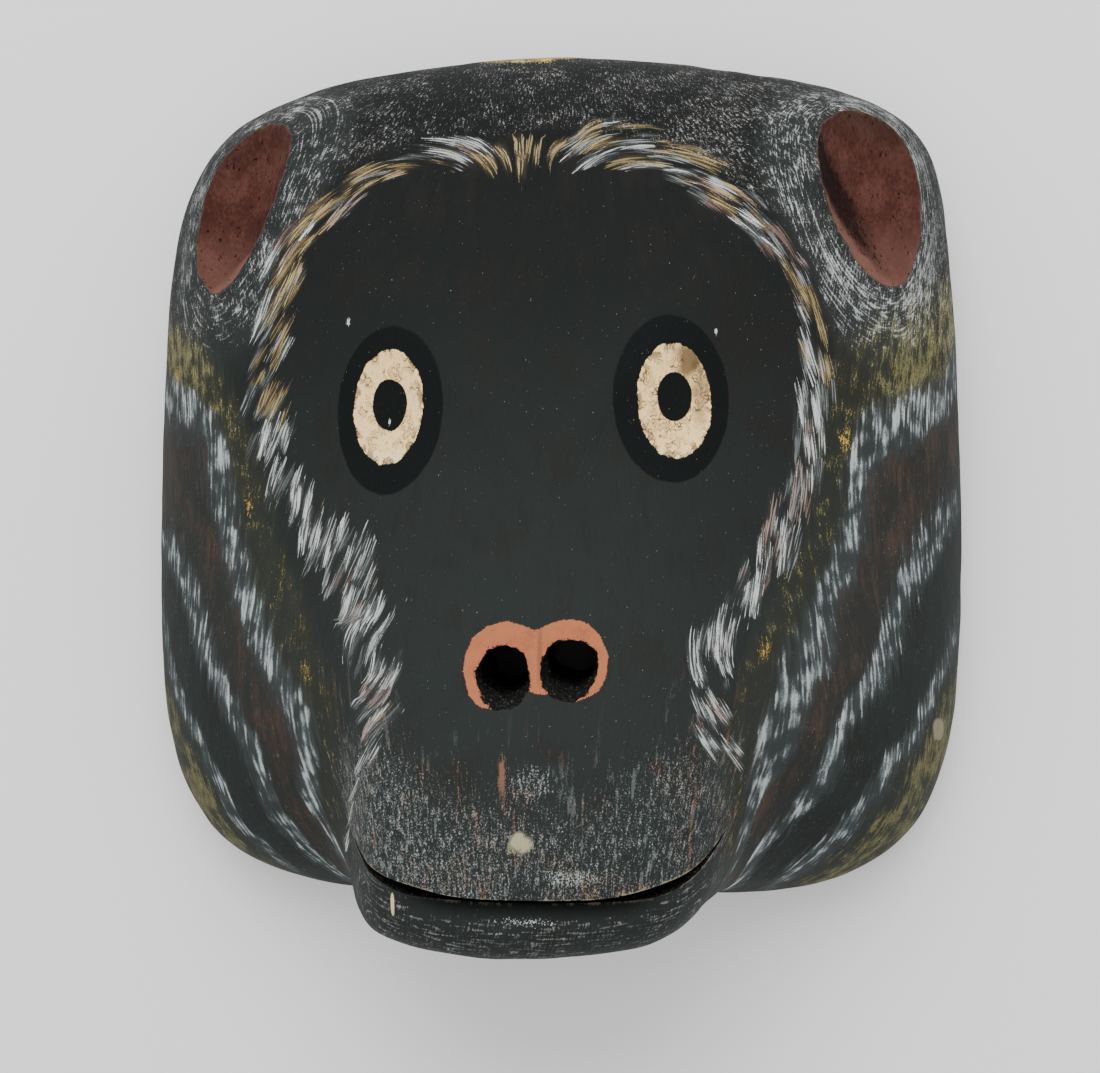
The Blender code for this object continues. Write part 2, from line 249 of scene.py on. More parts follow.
# The painted bands on the sides of the head. Each row has its number and its places on the carved
# face's grid, from the rim down to the throat. Even numbers are white, 1 and 7 are olive, 3 is
# brown and 5 is left black; a number under a half is outside the bands.
LEFT_BANDS = [
    (0.0, [(-0.82, 0.42), (-0.53, 0.20), (-0.47, 0.05), (-0.40, -0.10), (-0.32, -0.18),
           (-0.27, -0.23), (-0.25, -0.30)]),
    (1.0, [(-0.82, 0.29), (-0.57, 0.13), (-0.49, -0.02), (-0.45, -0.13), (-0.37, -0.20),
           (-0.33, -0.26), (-0.29, -0.31), (-0.31, -0.40)]),
    (2.0, [(-0.80, 0.18), (-0.59, 0.08), (-0.56, -0.04), (-0.52, -0.14), (-0.45, -0.23),
           (-0.36, -0.30), (-0.34, -0.38), (-0.37, -0.50)]),
    (3.0, [(-0.79, -0.04), (-0.62, -0.11), (-0.54, -0.22), (-0.47, -0.29), (-0.41, -0.36),
           (-0.39, -0.42), (-0.40, -0.53)]),
    (4.0, [(-0.87, -0.16), (-0.68, -0.20), (-0.58, -0.29), (-0.52, -0.34), (-0.45, -0.39),
           (-0.44, -0.49), (-0.44, -0.60)]),
    (5.0, [(-0.81, -0.25), (-0.66, -0.35), (-0.53, -0.43), (-0.50, -0.56), (-0.49, -0.67)]),
    (6.0, [(-0.86, -0.32), (-0.74, -0.39), (-0.60, -0.45), (-0.55, -0.51), (-0.53, -0.64)]),
    (7.0, [(-0.73, -0.52), (-0.65, -0.56), (-0.67, -0.70), (-0.66, -0.79)]),
    (-1.0, [(-0.46, 0.38), (-0.75, 0.62), (-0.30, 0.60), (-0.20, -0.40), (-0.25, -0.60)]),
]
RIGHT_BANDS = [
    (0.3, [(0.85, 0.52), (0.58, 0.29), (0.45, 0.20), (0.42, 0.07), (0.41, -0.05), (0.35, -0.13),
           (0.27, -0.20), (0.25, -0.27), (0.24, -0.34)]),
    (1.0, [(0.82, 0.38), (0.60, 0.19), (0.48, 0.13), (0.45, -0.07), (0.37, -0.17), (0.29, -0.22),
           (0.27, -0.26), (0.26, -0.35)]),
    (2.0, [(0.81, 0.20), (0.64, 0.09), (0.53, 0.04), (0.50, -0.06), (0.45, -0.16), (0.40, -0.20),
           (0.36, -0.27), (0.32, -0.41)]),
    (3.0, [(0.70, 0.01), (0.60, -0.08), (0.52, -0.20), (0.44, -0.29), (0.38, -0.35),
           (0.35, -0.46)]),
    (4.0, [(0.80, -0.09), (0.66, -0.18), (0.58, -0.23), (0.52, -0.30), (0.46, -0.33),
           (0.42, -0.38), (0.39, -0.47), (0.37, -0.61)]),
    (5.0, [(0.79, -0.22), (0.66, -0.33), (0.55, -0.39), (0.47, -0.45), (0.43, -0.56),
           (0.43, -0.72)]),
    (6.0, [(0.90, -0.36), (0.73, -0.39), (0.63, -0.43), (0.54, -0.46), (0.50, -0.53),
           (0.48, -0.64), (0.48, -0.74)]),
    (7.0, [(0.82, -0.54), (0.67, -0.56), (0.62, -0.65), (0.69, -0.83)]),
    (-1.0, [(0.47, 0.38), (0.75, 0.62), (0.30, 0.60), (0.20, -0.40), (0.25, -0.60)]),
]
BAND_BEND = 6.0

# The eyes as painted: centre and half sizes in millimetres as seen from straight above, and lean
EYE_PAINT = [
    # black socket, cream ring, pupil
    [(-31.4, 11.2, 11.5, 17.4, -3), (-31.6, 11.8, 7.5, 11.8, -3), (-31.4, 12.4, 3.7, 5.3, 0)],
    [(26.6, 13.5, 11.8, 17.1, 2), (27.2, 13.0, 7.5, 11.7, 3), (27.2, 13.9, 3.55, 5.1, 0)],
]

# The edge of the orange paint round the nostrils, in millimetres as seen from straight above
NOSTRIL_PAINT = [
    (-14.0, -41.5), (-13.7, -38.0), (-12.2, -34.6), (-9.4, -32.5), (-5.8, -31.5), (-2.4, -32.4),
    (0.2, -33.4), (2.6, -32.0), (6.0, -31.0), (10.0, -31.7), (12.8, -34.2), (14.5, -38.0),
    (14.1, -42.4), (12.5, -45.1), (10.2, -46.3), (7.8, -47.0), (5.4, -44.5), (4.0, -45.1),
    (1.6, -45.6), (-0.6, -45.1), (-1.8, -43.9), (-5.4, -45.7), (-7.8, -48.3), (-10.5, -48.0),
    (-12.7, -45.8),
]

# How far out the rim of an ear hollow lies, across and along it, as shares of the gouge's size
EAR_RIM_SHARES = (0.80, 0.66)

# Where the paints lie, in millimetres: each pair is where a paint starts and where it is full.
# "Lift" is the height above the rim, "up" is towards the crown and "out" is away from the middle
# line or, for the crown, from the plate.
FRINGE_LIFT = (46.0, 64.0)
OLIVE_LIGHT_UP = (-12.0, 18.0)
OLIVE_LIGHT_OUT = (58.0, 80.0)
CROWN_OUT = (2.0, 9.0)
CROWN_UP = (14.0, 34.0)
SNOUT_MIDDLE = -2.0
SNOUT_OUT = (50.0, 38.0)
SNOUT_LIFT = (46.0, 60.0)
MUZZLE_TOP = -45.0
MUZZLE_TOP_RISE = 10.0
MUZZLE_TOP_OUT = (12.0, 30.0)
MUZZLE_FADE = 30.0
MUZZLE_RIGHT = (-25.0, 10.0)
MUZZLE_RIGHT_LOSS = 0.1
LIP_LIFT = (25.0, 86.0)
LIP_EDGE = (0.5, -1.0)
# The painted shadow under the upper lip: how far below the mouth's line it fades, where it begins at the
# line, and how far from the middle line it reaches
LIP_SHADOW_BELOW = (4.5, 0.6)
LIP_SHADOW_EDGE = (-0.8, 0.2)
LIP_SHADOW_OUT = (30.0, 18.0)

# The height of the mouth's line on the plan, in millimetres, and how it rises to its corners
MOUTH_LINE_HEIGHT = -85.3
MOUTH_LINE_RISE = 9.0
MOUTH_LINE_HALF = 38.0

# Colours of the paints, in linear light
SLATE_DARK = (0.0090, 0.0104, 0.0100)
SLATE_BLACK = (0.0212, 0.0255, 0.0243)
BROWN_BLACK = (0.0190, 0.0165, 0.0140)
# Black paint of the eye sockets, pupils and nostril edges, also laid as the painted shadow under the upper
# lip
BLACK_PAINT_AND_SHADOW = (0.0065, 0.0080, 0.0078)
CUT_BLACK = (0.004, 0.004, 0.004)
CUT_GREY = (0.020, 0.020, 0.018)
STROKE_WHITE = (0.64, 0.67, 0.65)
STROKE_GREY = (0.17, 0.19, 0.19)
STROKE_TAN = (0.42, 0.29, 0.10)
SALT_WARM = (0.42, 0.33, 0.25)
STROKE_PINK = (0.24, 0.115, 0.080)
BAND_BLUE = (0.235, 0.270, 0.285)
BAND_OLIVE = (0.175, 0.160, 0.070)
YELLOW_GREEN = (0.34, 0.29, 0.07)
BAND_BROWN = (0.072, 0.048, 0.038)
BRIGHT_YELLOW = (0.66, 0.44, 0.09)
CREST_CREAM = (0.72, 0.58, 0.26)
EAR_RED = (0.050, 0.0175, 0.0135)
# In the ear hollows: a dark for the painted shade on the walls and for the cracks, a brown for the painted
# shade at the top, and a pale for the painted light on the lower wall and the glints
EAR_SHADE_AND_CRACKS = (0.013, 0.0060, 0.0052)
EAR_TOP_SHADE = (0.030, 0.0200, 0.0150)
EAR_PAINTED_LIGHT = (0.175, 0.082, 0.062)
EAR_DUST = (0.095, 0.038, 0.029)
EAR_ORANGE = (0.200, 0.075, 0.035)
EAR_EDGE = (0.085, 0.052, 0.045)
EYE_CREAM = (0.98, 0.70, 0.33)
EYE_TAN = (0.60, 0.37, 0.17)
# The pale cream of the painted highlight low on each eye's ring
EYE_PAINTED_HIGHLIGHT = (0.95, 0.80, 0.52)
# A dark brown for the eyes' cracks, stains and specks, and for the painted shade along the rings' edges
EYE_CRACK_AND_SHADE = (0.070, 0.036, 0.018)
NOSTRIL_ORANGE = (0.408, 0.138, 0.064)
NOSTRIL_DUST = (0.17, 0.075, 0.045)
CREAM_SPOT = (0.40, 0.38, 0.23)
WORN_EDGE = (0.30, 0.26, 0.17)
CHIPPED_WOOD = (0.72, 0.58, 0.36)
BARE_WOOD = (0.36, 0.23, 0.12)
WOOD_GRAIN = (0.16, 0.09, 0.045)
PALE_FLOOR = (0.93, 0.93, 0.93)
ROOM_WHITE = (1.0, 1.0, 1.0)

# The numbers of the side bands in which each paint lies
OLIVE_BANDS = (1.05, 7.2)
WHITE_BANDS = (2.0, 4.0, 6.0)
BROWN_BAND = 3.0

# The coats of tufts in the fringe. Each has the width and the length of a tuft in millimetres, a
# shift that keeps the coats apart, and the spacing of its hairs in millimetres.
FRINGE_COATS = [(3.2, 12.0, 0.0, 0.40), (2.4, 10.0, 31.7, 0.34), (1.8, 8.0, 57.3, 0.28)]

# Single dabs: their centres and half sizes in millimetres as seen from straight above
WHITE_FLECKS = [((-31.4, 8.8), (0.22, 0.60)), ((-40.6, 29.9), (0.35, 0.65)), ((35.7, 27.5), (0.25, 0.60))]
CREAM_DAB = ((-1.9, -73.4), (2.1, 2.1))
PINK_DASH = ((-5.6, -60.8), (0.6, 3.3))
LIP_FLAKES = ((-1.0, -89.0), (4.6, 0.6))
LIP_CHIP = ((-27.4, -86.9), (0.45, 2.3))
WORN_SLIVER = ((87.0, -57.0), (1.6, 2.6))
YELLOW_CREST = ((-7.0, 96.5), (12.0, 4.5))
SALT_UNDER_NOSE = ((0.0, -62.0), (5.0, 3.5))
SALT_OVER_LIP = ((8.0, -80.0), (5.5, 1.6))
NOSTRIL_BRIDGE = ((1.1, -38.0), (0.5, 5.2))
EYE_STAIN = ((29.9, 21.2), (2.5, 2.9))
EYE_SMEAR = ((32.5, 15.4), (1.5, 5.2))

# The orange glow in the left ear: its centre and half sizes in shares of the ear's hollow
LEFT_EAR_GLOW = ((-0.74, 0.12), (0.24, 0.20))

# How a dry brush catches the grain, and the smoothness and relief of the finishes
BRUSH_CATCH = 0.6
BRUSH_START = 0.80
RIDGE_TOP = 0.3
DULL_SHEEN = 0.05
BRISTLE_RELIEF = 0.00020
EAR_RELIEF = 0.0005
CUT_RELIEF = 0.0008
WOOD_RELIEF = 0.0003

# The stage: a pale floor, one soft window beyond the crown and white light from all round
FLOOR_SIZE = 3.0
FLOOR_ROUGHNESS = 0.9
WINDOW_PLACE = (-0.05, 0.80, 1.05)
WINDOW_POWER = 14.0
WINDOW_SIZE = 0.9
ROOM_LIGHT = 1.05

# The camera looks nearly straight down: its lens and sensor in millimetres, the point on the rim
# plane at the middle of the picture, its distance from there, and its small turns in radians
CAMERA_LENS = 64.96
CAMERA_SENSOR = 36.0
CAMERA_AIM = (-0.00246, -0.01404, 0.0)
CAMERA_DISTANCE = 0.4799
CAMERA_PITCH = -0.0082
CAMERA_YAW = -0.0600
CAMERA_ROLL = -0.0042


def smooth_step(low, high, value):
    """Rise from 0 at low to 1 at high, level at both ends."""
    share = np.clip((value - low) / (high - low), 0.0, 1.0)
    return share * share * (3.0 - 2.0 * share)


def read_line(stations, arcs):
    """Read the smooth line through the stations at the given places along the arc."""
    table = np.array(stations)
    knots = table[:, 0]
    values = table[:, 1:]
    slopes = np.gradient(values, knots, axis=0)
    arcs = np.clip(arcs, knots[0], knots[-1])
    first = np.clip(np.searchsorted(knots, arcs) - 1, 0, len(knots) - 2)
    span = (knots[first + 1] - knots[first])[..., None]
    share = (arcs - knots[first])[..., None] / span
    rise = share * share * (3.0 - 2.0 * share)
    leave = share * (1.0 - share) ** 2
    arrive = share * share * (share - 1.0)
    line = values[first] * (1.0 - rise) + values[first + 1] * rise
    return line + span * (slopes[first] * leave + slopes[first + 1] * arrive)


def spread_on_plan(u, v):
    """Turn a place on a square grid, -1 to 1 each way, into a place inside the outline."""
    right = u * np.sqrt(1.0 - v * v / 2.0)
    up = v * np.sqrt(1.0 - u * u / 2.0)
    reach = np.hypot(right, up)
    safe = np.maximum(reach, 1e-9)
    top = np.where(u < 0, TOP_LEFT_SQUARENESS, TOP_RIGHT_SQUARENESS)
    squareness = np.where(v < 0, JAW_SQUARENESS, top)
    norm = np.abs(right / safe) ** squareness + np.abs(up / safe) ** squareness
    stretch = np.maximum(norm, 1e-9) ** (-1.0 / squareness) * np.where(reach > 0, 1.0, 0.0)
    fan = 1.0 + GRID_FAN * (1.0 - reach * reach)
    return right * stretch * fan, up * stretch * fan, reach * fan


def dome(u, v, half_width, half_height, depth, fullness):
    """Give the points of a plain dome over the outline; depth is a function of the height share."""
    across, along, radius = spread_on_plan(u, v)
    crown = (np.maximum(along - WIDEST_PLACE, 0.0) / (1.0 - WIDEST_PLACE)) ** 2
    top = np.maximum(along, 0.0) ** 2
    rise = np.maximum(1.0 - radius ** (2.0 / fullness), 0.0) ** (fullness / 2.0)
    x = across * half_width * (1.0 - CROWN_TAPER * crown)
    y = along * half_height * (1.0 - TOP_EDGE_FALL * top * np.abs(across) ** TOP_EDGE_BEND)
    return np.stack([x, y, depth(along) * rise], axis=-1)


def head_depth(along):
    """Give the depth of the plain head, from the cheeks up to the forehead."""
    return CHEEK_DEPTH + (FOREHEAD_DEPTH - CHEEK_DEPTH) * smooth_step(CHEEK_TOP, FOREHEAD_BASE, along)


def plain_head(u, v):
    """Give the points of the head without its snout."""
    return dome(u, v, HALF_WIDTH, HALF_HEIGHT, head_depth, DOME_FULLNESS)


def face_surface(u, v):
    """Give the points of the carved face, before its ears, eyes, nostrils and mouth are cut."""
    u = np.asarray(u, dtype=float)
    v = np.asarray(v, dtype=float)
    points = plain_head(u, v)
    line = read_line(MIDDLE_LINE, v)
    middle = plain_head(np.zeros_like(v), np.minimum(v, MIDDLE_LINE[-1][0]))
    fade = 1.0 - smooth_step(MIDDLE_LINE[-1][0], BROW_ARC, v)
    push_down = (line[..., 0] * HALF_HEIGHT - middle[..., 1]) * fade
    push_out = (line[..., 1] * SNOUT_DEPTH - middle[..., 2]) * fade
    bridge = smooth_step(MUZZLE_ARC, BRIDGE_ARC, v)
    flank = MOUTH_FLANK + (BRIDGE_FLANK - MOUTH_FLANK) * bridge
    softness = MOUTH_FLANK_SOFTNESS + (BRIDGE_FLANK_SOFTNESS - MOUTH_FLANK_SOFTNESS) * bridge
    side = np.abs(points[..., 0]) / HALF_WIDTH
    snout = (1.0 - np.tanh((side - flank) / softness)) / (1.0 + np.tanh(flank / softness))
    bend = np.minimum(side / flank, 1.0) ** 2
    points[..., 0] -= CHIN_SKEW * snout * smooth_step(CHIN_SKEW_ARC, CHIN_ARC, v)
    points[..., 1] += push_down * snout * (1.0 - CHIN_CORNER_FALL * bend)
    points[..., 2] += push_out * snout * (1.0 - SNOUT_FRONT_FALL * bend)
    return points


def hollow_surface(u, v):
    """Give the points of the hollow behind the face."""
    half_width = HALF_WIDTH - RIM_WALL
    half_height = HALF_HEIGHT - RIM_WALL
    points = dome(u, v, half_width, half_height, lambda along: head_depth(along) - BROW_WALL,
                  HOLLOW_FULLNESS)
    across = points[..., 0] / HALF_WIDTH
    along = points[..., 1] / HALF_HEIGHT - NOSE_POCKET_PLACE
    pocket = np.exp(-(across ** 2 + along ** 2) / NOSE_POCKET_REACH ** 2)
    edge = smooth_step(0.0, NOSE_POCKET_EDGE, points[..., 2] / CHEEK_DEPTH)
    points[..., 2] += NOSE_POCKET_DEPTH * pocket * edge
    return points


def waves(places, size, seed):
    """Give a smooth, even noise of about -1 to 1 whose waves are about size long."""
    chance = np.random.default_rng(seed)
    total = 0.0
    for _ in range(WAVE_COUNT):
        direction = chance.normal(size=3)
        direction *= chance.uniform(0.7, 1.4) / (np.linalg.norm(direction) * size)
        total = total + np.sin(2.0 * math.pi * (places @ direction + chance.uniform()))
    return total / math.sqrt(WAVE_COUNT)


def push_along_normals(u, v, surface, depth):
    """Move a surface's points inward along its normals by the given depths."""
    here = surface(u, v)
    right = surface(u + SMALL_STEP, v) - surface(u - SMALL_STEP, v)
    up = surface(u, v + SMALL_STEP) - surface(u, v - SMALL_STEP)
    normal = np.cross(right, up)
    normal /= np.maximum(np.linalg.norm(normal, axis=-1, keepdims=True), 1e-12)
    return here - normal * depth[..., None]


def mouth_place(share):
    """Give the place on the grid at this share of the way from the mouth's middle to a corner."""
    corner = np.where(share < 0, MOUTH_CORNER_ARCS["left"], MOUTH_CORNER_ARCS["right"])
    return share * MOUTH_REACH, MOUTH_ARC + (corner - MOUTH_ARC) * share ** 4


def worked_face(u, v):
    """Give the face with the carver's unevenness and the lower lip rolled inward at the slit."""
    points = face_surface(u, v)
    inside_u = np.clip(u, -SEARCH_LIMIT, SEARCH_LIMIT)
    inside_v = np.clip(v, -SEARCH_LIMIT, SEARCH_LIMIT)
    places = points * MILLIMETRES
    uneven = 0.5 + 0.30 * waves(places, FACE_WAVES[0], 1) + 0.20 * waves(places, FACE_WAVES[1], 2)
    depth = FACE_UNEVENNESS * np.clip(uneven, 0.0, 1.0)
    rise = np.linalg.norm(face_surface(inside_u, inside_v + SMALL_STEP) - points, axis=-1) / SMALL_STEP
    _, arc = mouth_place(np.clip(u / MOUTH_REACH, -1.0, 1.0))
    below = (arc - v) * rise
    middle = 1.0 - smooth_step(LIP_ROLL_FADE, LIP_ROLL_END, np.abs(points[..., 0]))
    roll = np.clip(1.0 - below / LIP_ROLL_REACH, 0.0, 1.0) ** 2 * np.where(below > 0, 1.0, 0.0)
    depth = depth + LIP_ROLL * roll * middle
    depth = depth * smooth_step(0.0, RIM_FADE, points[..., 2])
    pushed = push_along_normals(inside_u, inside_v, face_surface, depth)
    return points + (pushed - face_surface(inside_u, inside_v))


def worked_hollow(u, v):
    """Give the hollow with the shallow scallops of the gouge."""
    points = hollow_surface(u, v)
    places = points * MILLIMETRES
    chance = np.random.default_rng(9)
    steps = np.arange(-SCALLOP_EDGE, SCALLOP_EDGE, SCALLOP_SPACING)
    spots = np.stack(np.meshgrid(steps, steps), axis=-1).reshape(-1, 2)
    spots = (spots + chance.uniform(-SCALLOP_SHIFT, SCALLOP_SHIFT, spots.shape)) * SCALLOP_STRETCH
    flat = np.stack([np.ravel(u), np.ravel(v)], axis=-1) * SCALLOP_STRETCH
    nearest = np.full(len(flat), FAR)
    for spot in spots:
        nearest = np.minimum(nearest, np.sum((flat - spot) ** 2, axis=1))
    scallop = np.clip(1.0 - nearest.reshape(np.shape(u)) / SCALLOP_SIZE, 0.0, 1.0)
    depth = HOLLOW_SCALLOP * (scallop + 0.2 * waves(places, HOLLOW_WAVE, 4))
    points[..., 2] += depth * smooth_step(*SCALLOP_FADE, points[..., 2])
    return points


def small_steps(u, v):
    """Give the point of the face at a place on the grid, and small steps right and up from it."""
    here = face_surface(u, v)
    return here, face_surface(u + SMALL_STEP, v) - here, face_surface(u, v + SMALL_STEP) - here


def face_frame(u, v):
    """Give the point of the face at a place on the grid, and its outward normal."""
    here, right, up = small_steps(u, v)
    return Vector(here), Vector(np.cross(right, up)).normalized()


def find_on_face(across, along):
    """Find the place on the grid whose point has these shares of the half width and height."""
    wanted = np.array([across * HALF_WIDTH, along * HALF_HEIGHT])
    spot = np.array([across, along]) * SEARCH_STEP
    for _ in range(SEARCH_ROUNDS):
        here, right, up = small_steps(*spot)
        slope = np.stack([right[:2], up[:2]], axis=1) / SMALL_STEP
        move = SEARCH_STEP * np.linalg.solve(slope, wanted - here[:2])
        spot = np.clip(spot + move, -SEARCH_LIMIT, SEARCH_LIMIT)
    return spot


def read_points(mesh):
    """Give a mesh's vertex places as an array."""
    points = np.empty(len(mesh.vertices) * 3)
    mesh.vertices.foreach_get("co", points)
    return points.reshape(-1, 3)


def write_points(mesh, points):
    """Put a mesh's vertices at the given places."""
    mesh.vertices.foreach_set("co", np.ascontiguousarray(points, dtype=np.float32).ravel())
    mesh.update()


def add_shape(name, add, **settings):
    """Add a primitive, alone and with a name."""
    bpy.ops.object.select_all(action="DESELECT")
    add(**settings)
    piece = bpy.context.object
    piece.name = name
    return piece


def choose(piece):
    """Select one piece alone and make it the active one."""
    bpy.ops.object.select_all(action="DESELECT")
    bpy.context.view_layer.objects.active = piece
    piece.select_set(True)


def start_edit(piece):
    """Open one piece, alone and with nothing selected, in edit mode."""
    choose(piece)
    bpy.ops.object.mode_set(mode="EDIT")
    bpy.ops.mesh.select_mode(type="EDGE")
    bpy.ops.mesh.select_all(action="DESELECT")


def end_edit():
    """Cut all faces to triangles that point outwards and leave edit mode."""
    bpy.ops.mesh.select_all(action="SELECT")
    bpy.ops.mesh.quads_convert_to_tris()
    bpy.ops.mesh.normals_make_consistent(inside=False)
    bpy.ops.object.mode_set(mode="OBJECT")


def laid_grid(name, columns, rows, surface):
    """Add a grid and lay its vertices on a surface."""
    piece = add_shape(name, bpy.ops.mesh.primitive_grid_add,
                      x_subdivisions=columns, y_subdivisions=rows, size=2.0)
    places = read_points(piece.data)
    write_points(piece.data, surface(places[:, 0], places[:, 1]))
    return piece


def close_block(piece, drop):
    """Draw a grid's open edge down by drop, close it with a flat face and cut all to triangles."""
    start_edit(piece)
    bpy.ops.mesh.select_non_manifold()
    if drop > 0:
        bpy.ops.mesh.extrude_edges_move(TRANSFORM_OT_translate={"value": (0.0, 0.0, -drop)})
    bpy.ops.mesh.edge_face_add()
    end_edit()


def turn_to(normal, lean):
    """Give the turn that lays a cutter's Z along the normal, with its Y up the face and leaning."""
    side = Vector((0.0, 1.0, 0.0)).cross(normal).normalized()
    basis = Matrix((side, normal.cross(side), normal)).transposed().to_4x4()
    return basis @ Matrix.Rotation(lean, 4, "Z")


def gouge_frame(cut, depth):
    """Give the centre, the three half sizes and the turn of an ear's or eye's cutter."""
    centre, normal = face_frame(*find_on_face(*cut["place"]))
    half_thickness = depth / (1.0 - GOUGE_LIFT)
    centre += normal * half_thickness * GOUGE_LIFT
    spread = 1.0 / math.sqrt(1.0 - GOUGE_LIFT ** 2)
    half_width, half_height = (half * spread for half in cut["size"])
    return centre, (half_width, half_height, half_thickness), turn_to(normal, cut["lean"])


def gouge(name, cut, depth, roughness, pull):
    """Make the egg shaped cutter of an ear or eye; pull moves its deep part sideways."""
    centre, sizes, turn = gouge_frame(cut, depth)
    cutter = add_shape(name, bpy.ops.mesh.primitive_uv_sphere_add,
                       segments=GOUGE_STEPS, ring_count=GOUGE_STEPS // 2, radius=1.0)
    points = read_points(cutter.data)
    points[:, 0] += pull * np.minimum(points[:, 2], 0.0) ** 2
    places = points * np.array(sizes) * MILLIMETRES
    dent = waves(places, GOUGE_WAVES[0], 5) * 0.6 + waves(places * GOUGE_TEAR, GOUGE_WAVES[1], 6) * 0.4
    points *= 1.0 + (roughness * dent / max(sizes[:2]))[:, None]
    write_points(cutter.data, points)
    cutter.data.transform(Matrix.Translation(centre) @ turn @ Matrix.Diagonal((*sizes, 1.0)))
    return cutter


def bore_nostril(name, place, seed):
    """Make the tapered, roughly cut bore of one nostril, from in front of the nose into the hollow."""
    centre, _ = face_frame(*find_on_face(*place))
    ceiling = CHEEK_DEPTH - BROW_WALL
    reach = centre.z - ceiling + CUT_OVERRUN

    def tube(around, along):
        depth = (1.0 - along) / 2.0 * (reach + CUT_OVERRUN) - CUT_OVERRUN
        angle = around * math.pi
        taper = (NOSTRIL_MOUTH_RADIUS - NOSTRIL_INNER_RADIUS) * depth / (centre.z - ceiling)
        ring = np.stack([np.cos(angle), np.sin(angle), depth * MILLIMETRES / NOSTRIL_WAVE_RADIUS], axis=-1)
        rough = sum(waves(ring * NOSTRIL_WAVE_RADIUS, length, seed + number) * height
                    for number, (length, height) in enumerate(NOSTRIL_WAVES))
        flare = NOSTRIL_FLARE * np.clip(1.0 - depth / NOSTRIL_FLARE_DEPTH, 0.0, 1.6) ** 2
        lower = 0.5 - 0.5 * np.sin(angle + NOSTRIL_FLARE_TURN)
        radius = NOSTRIL_MOUTH_RADIUS - taper + rough + flare * lower ** 2
        return np.stack([np.cos(angle) * radius, np.sin(angle) * radius, -depth], axis=-1)

    cutter = laid_grid(name, NOSTRIL_STEPS, NOSTRIL_STEPS, tube)
    start_edit(cutter)
    bpy.ops.mesh.select_all(action="SELECT")
    bpy.ops.mesh.remove_doubles(threshold=0.00001)
    bpy.ops.mesh.select_all(action="DESELECT")
    bpy.ops.mesh.select_non_manifold()
    bpy.ops.mesh.fill_holes(sides=0)
    bpy.ops.object.mode_set(mode="OBJECT")
    cutter.data.transform(Matrix.Translation(centre) @ Matrix.Rotation(NOSTRIL_RISE, 4, "X"))
    return cutter


def cut_mouth(name):
    """Make the curved blade that cuts the slit of the mouth square to the face."""
    cutter = add_shape(name, bpy.ops.mesh.primitive_cube_add, size=2.0)
    long_edges = [edge.index for edge in cutter.data.edges
                  if abs(cutter.data.vertices[edge.vertices[0]].co.x
                         - cutter.data.vertices[edge.vertices[1]].co.x) > 1.0]
    start_edit(cutter)
    bpy.ops.object.mode_set(mode="OBJECT")
    for index in long_edges:
        cutter.data.edges[index].select = True
    bpy.ops.object.mode_set(mode="EDIT")
    bpy.ops.mesh.subdivide(number_cuts=MOUTH_STEPS - 1)
    bpy.ops.object.mode_set(mode="OBJECT")
    for vertex in cutter.data.vertices:
        share, side, out = vertex.co
        centre, normal = face_frame(*mouth_place(share))
        along, _ = face_frame(*mouth_place(share + SMALL_STEP))
        up = normal.cross(along - centre).normalized()
        side_share = (abs(share) - MOUTH_SIDE_PLACE) / MOUTH_SIDE_REACH
        wide = MOUTH_MIDDLE_GAPE + MOUTH_SIDE_GAPE * math.exp(-side_share ** 2)
        gap = MOUTH_CORNER_SLIT + (MOUTH_SLIT - MOUTH_CORNER_SLIT) * wide * (1.0 - share ** 6)
        reach = MOUTH_OVERRUN if out > 0 else -MOUTH_DEPTH
        vertex.co = centre + normal * reach + up * side * gap / 2.0
    return cutter


def cut_away(piece, cutter, finish):
    """Cut the cutter's shape out of the piece, with the cut faces in the cutter's finish."""
    start_edit(cutter)
    end_edit()
    cutter.data.materials.append(finish)
    choose(piece)
    cut = piece.modifiers.new(cutter.name, "BOOLEAN")
    cut.operation = "DIFFERENCE"
    cut.solver = "EXACT"
    cut.material_mode = "TRANSFER"
    cut.object = cutter
    bpy.ops.object.modifier_apply(modifier=cut.name)
    bpy.data.objects.remove(cutter)


def part_offset(offset, heading):
    """Part offsets on the plan into what lies along a heading and what lies to the left of it."""
    cosine = np.cos(heading)
    sine = np.sin(heading)
    return offset[:, 0] * cosine + offset[:, 1] * sine, offset[:, 1] * cosine - offset[:, 0] * sine


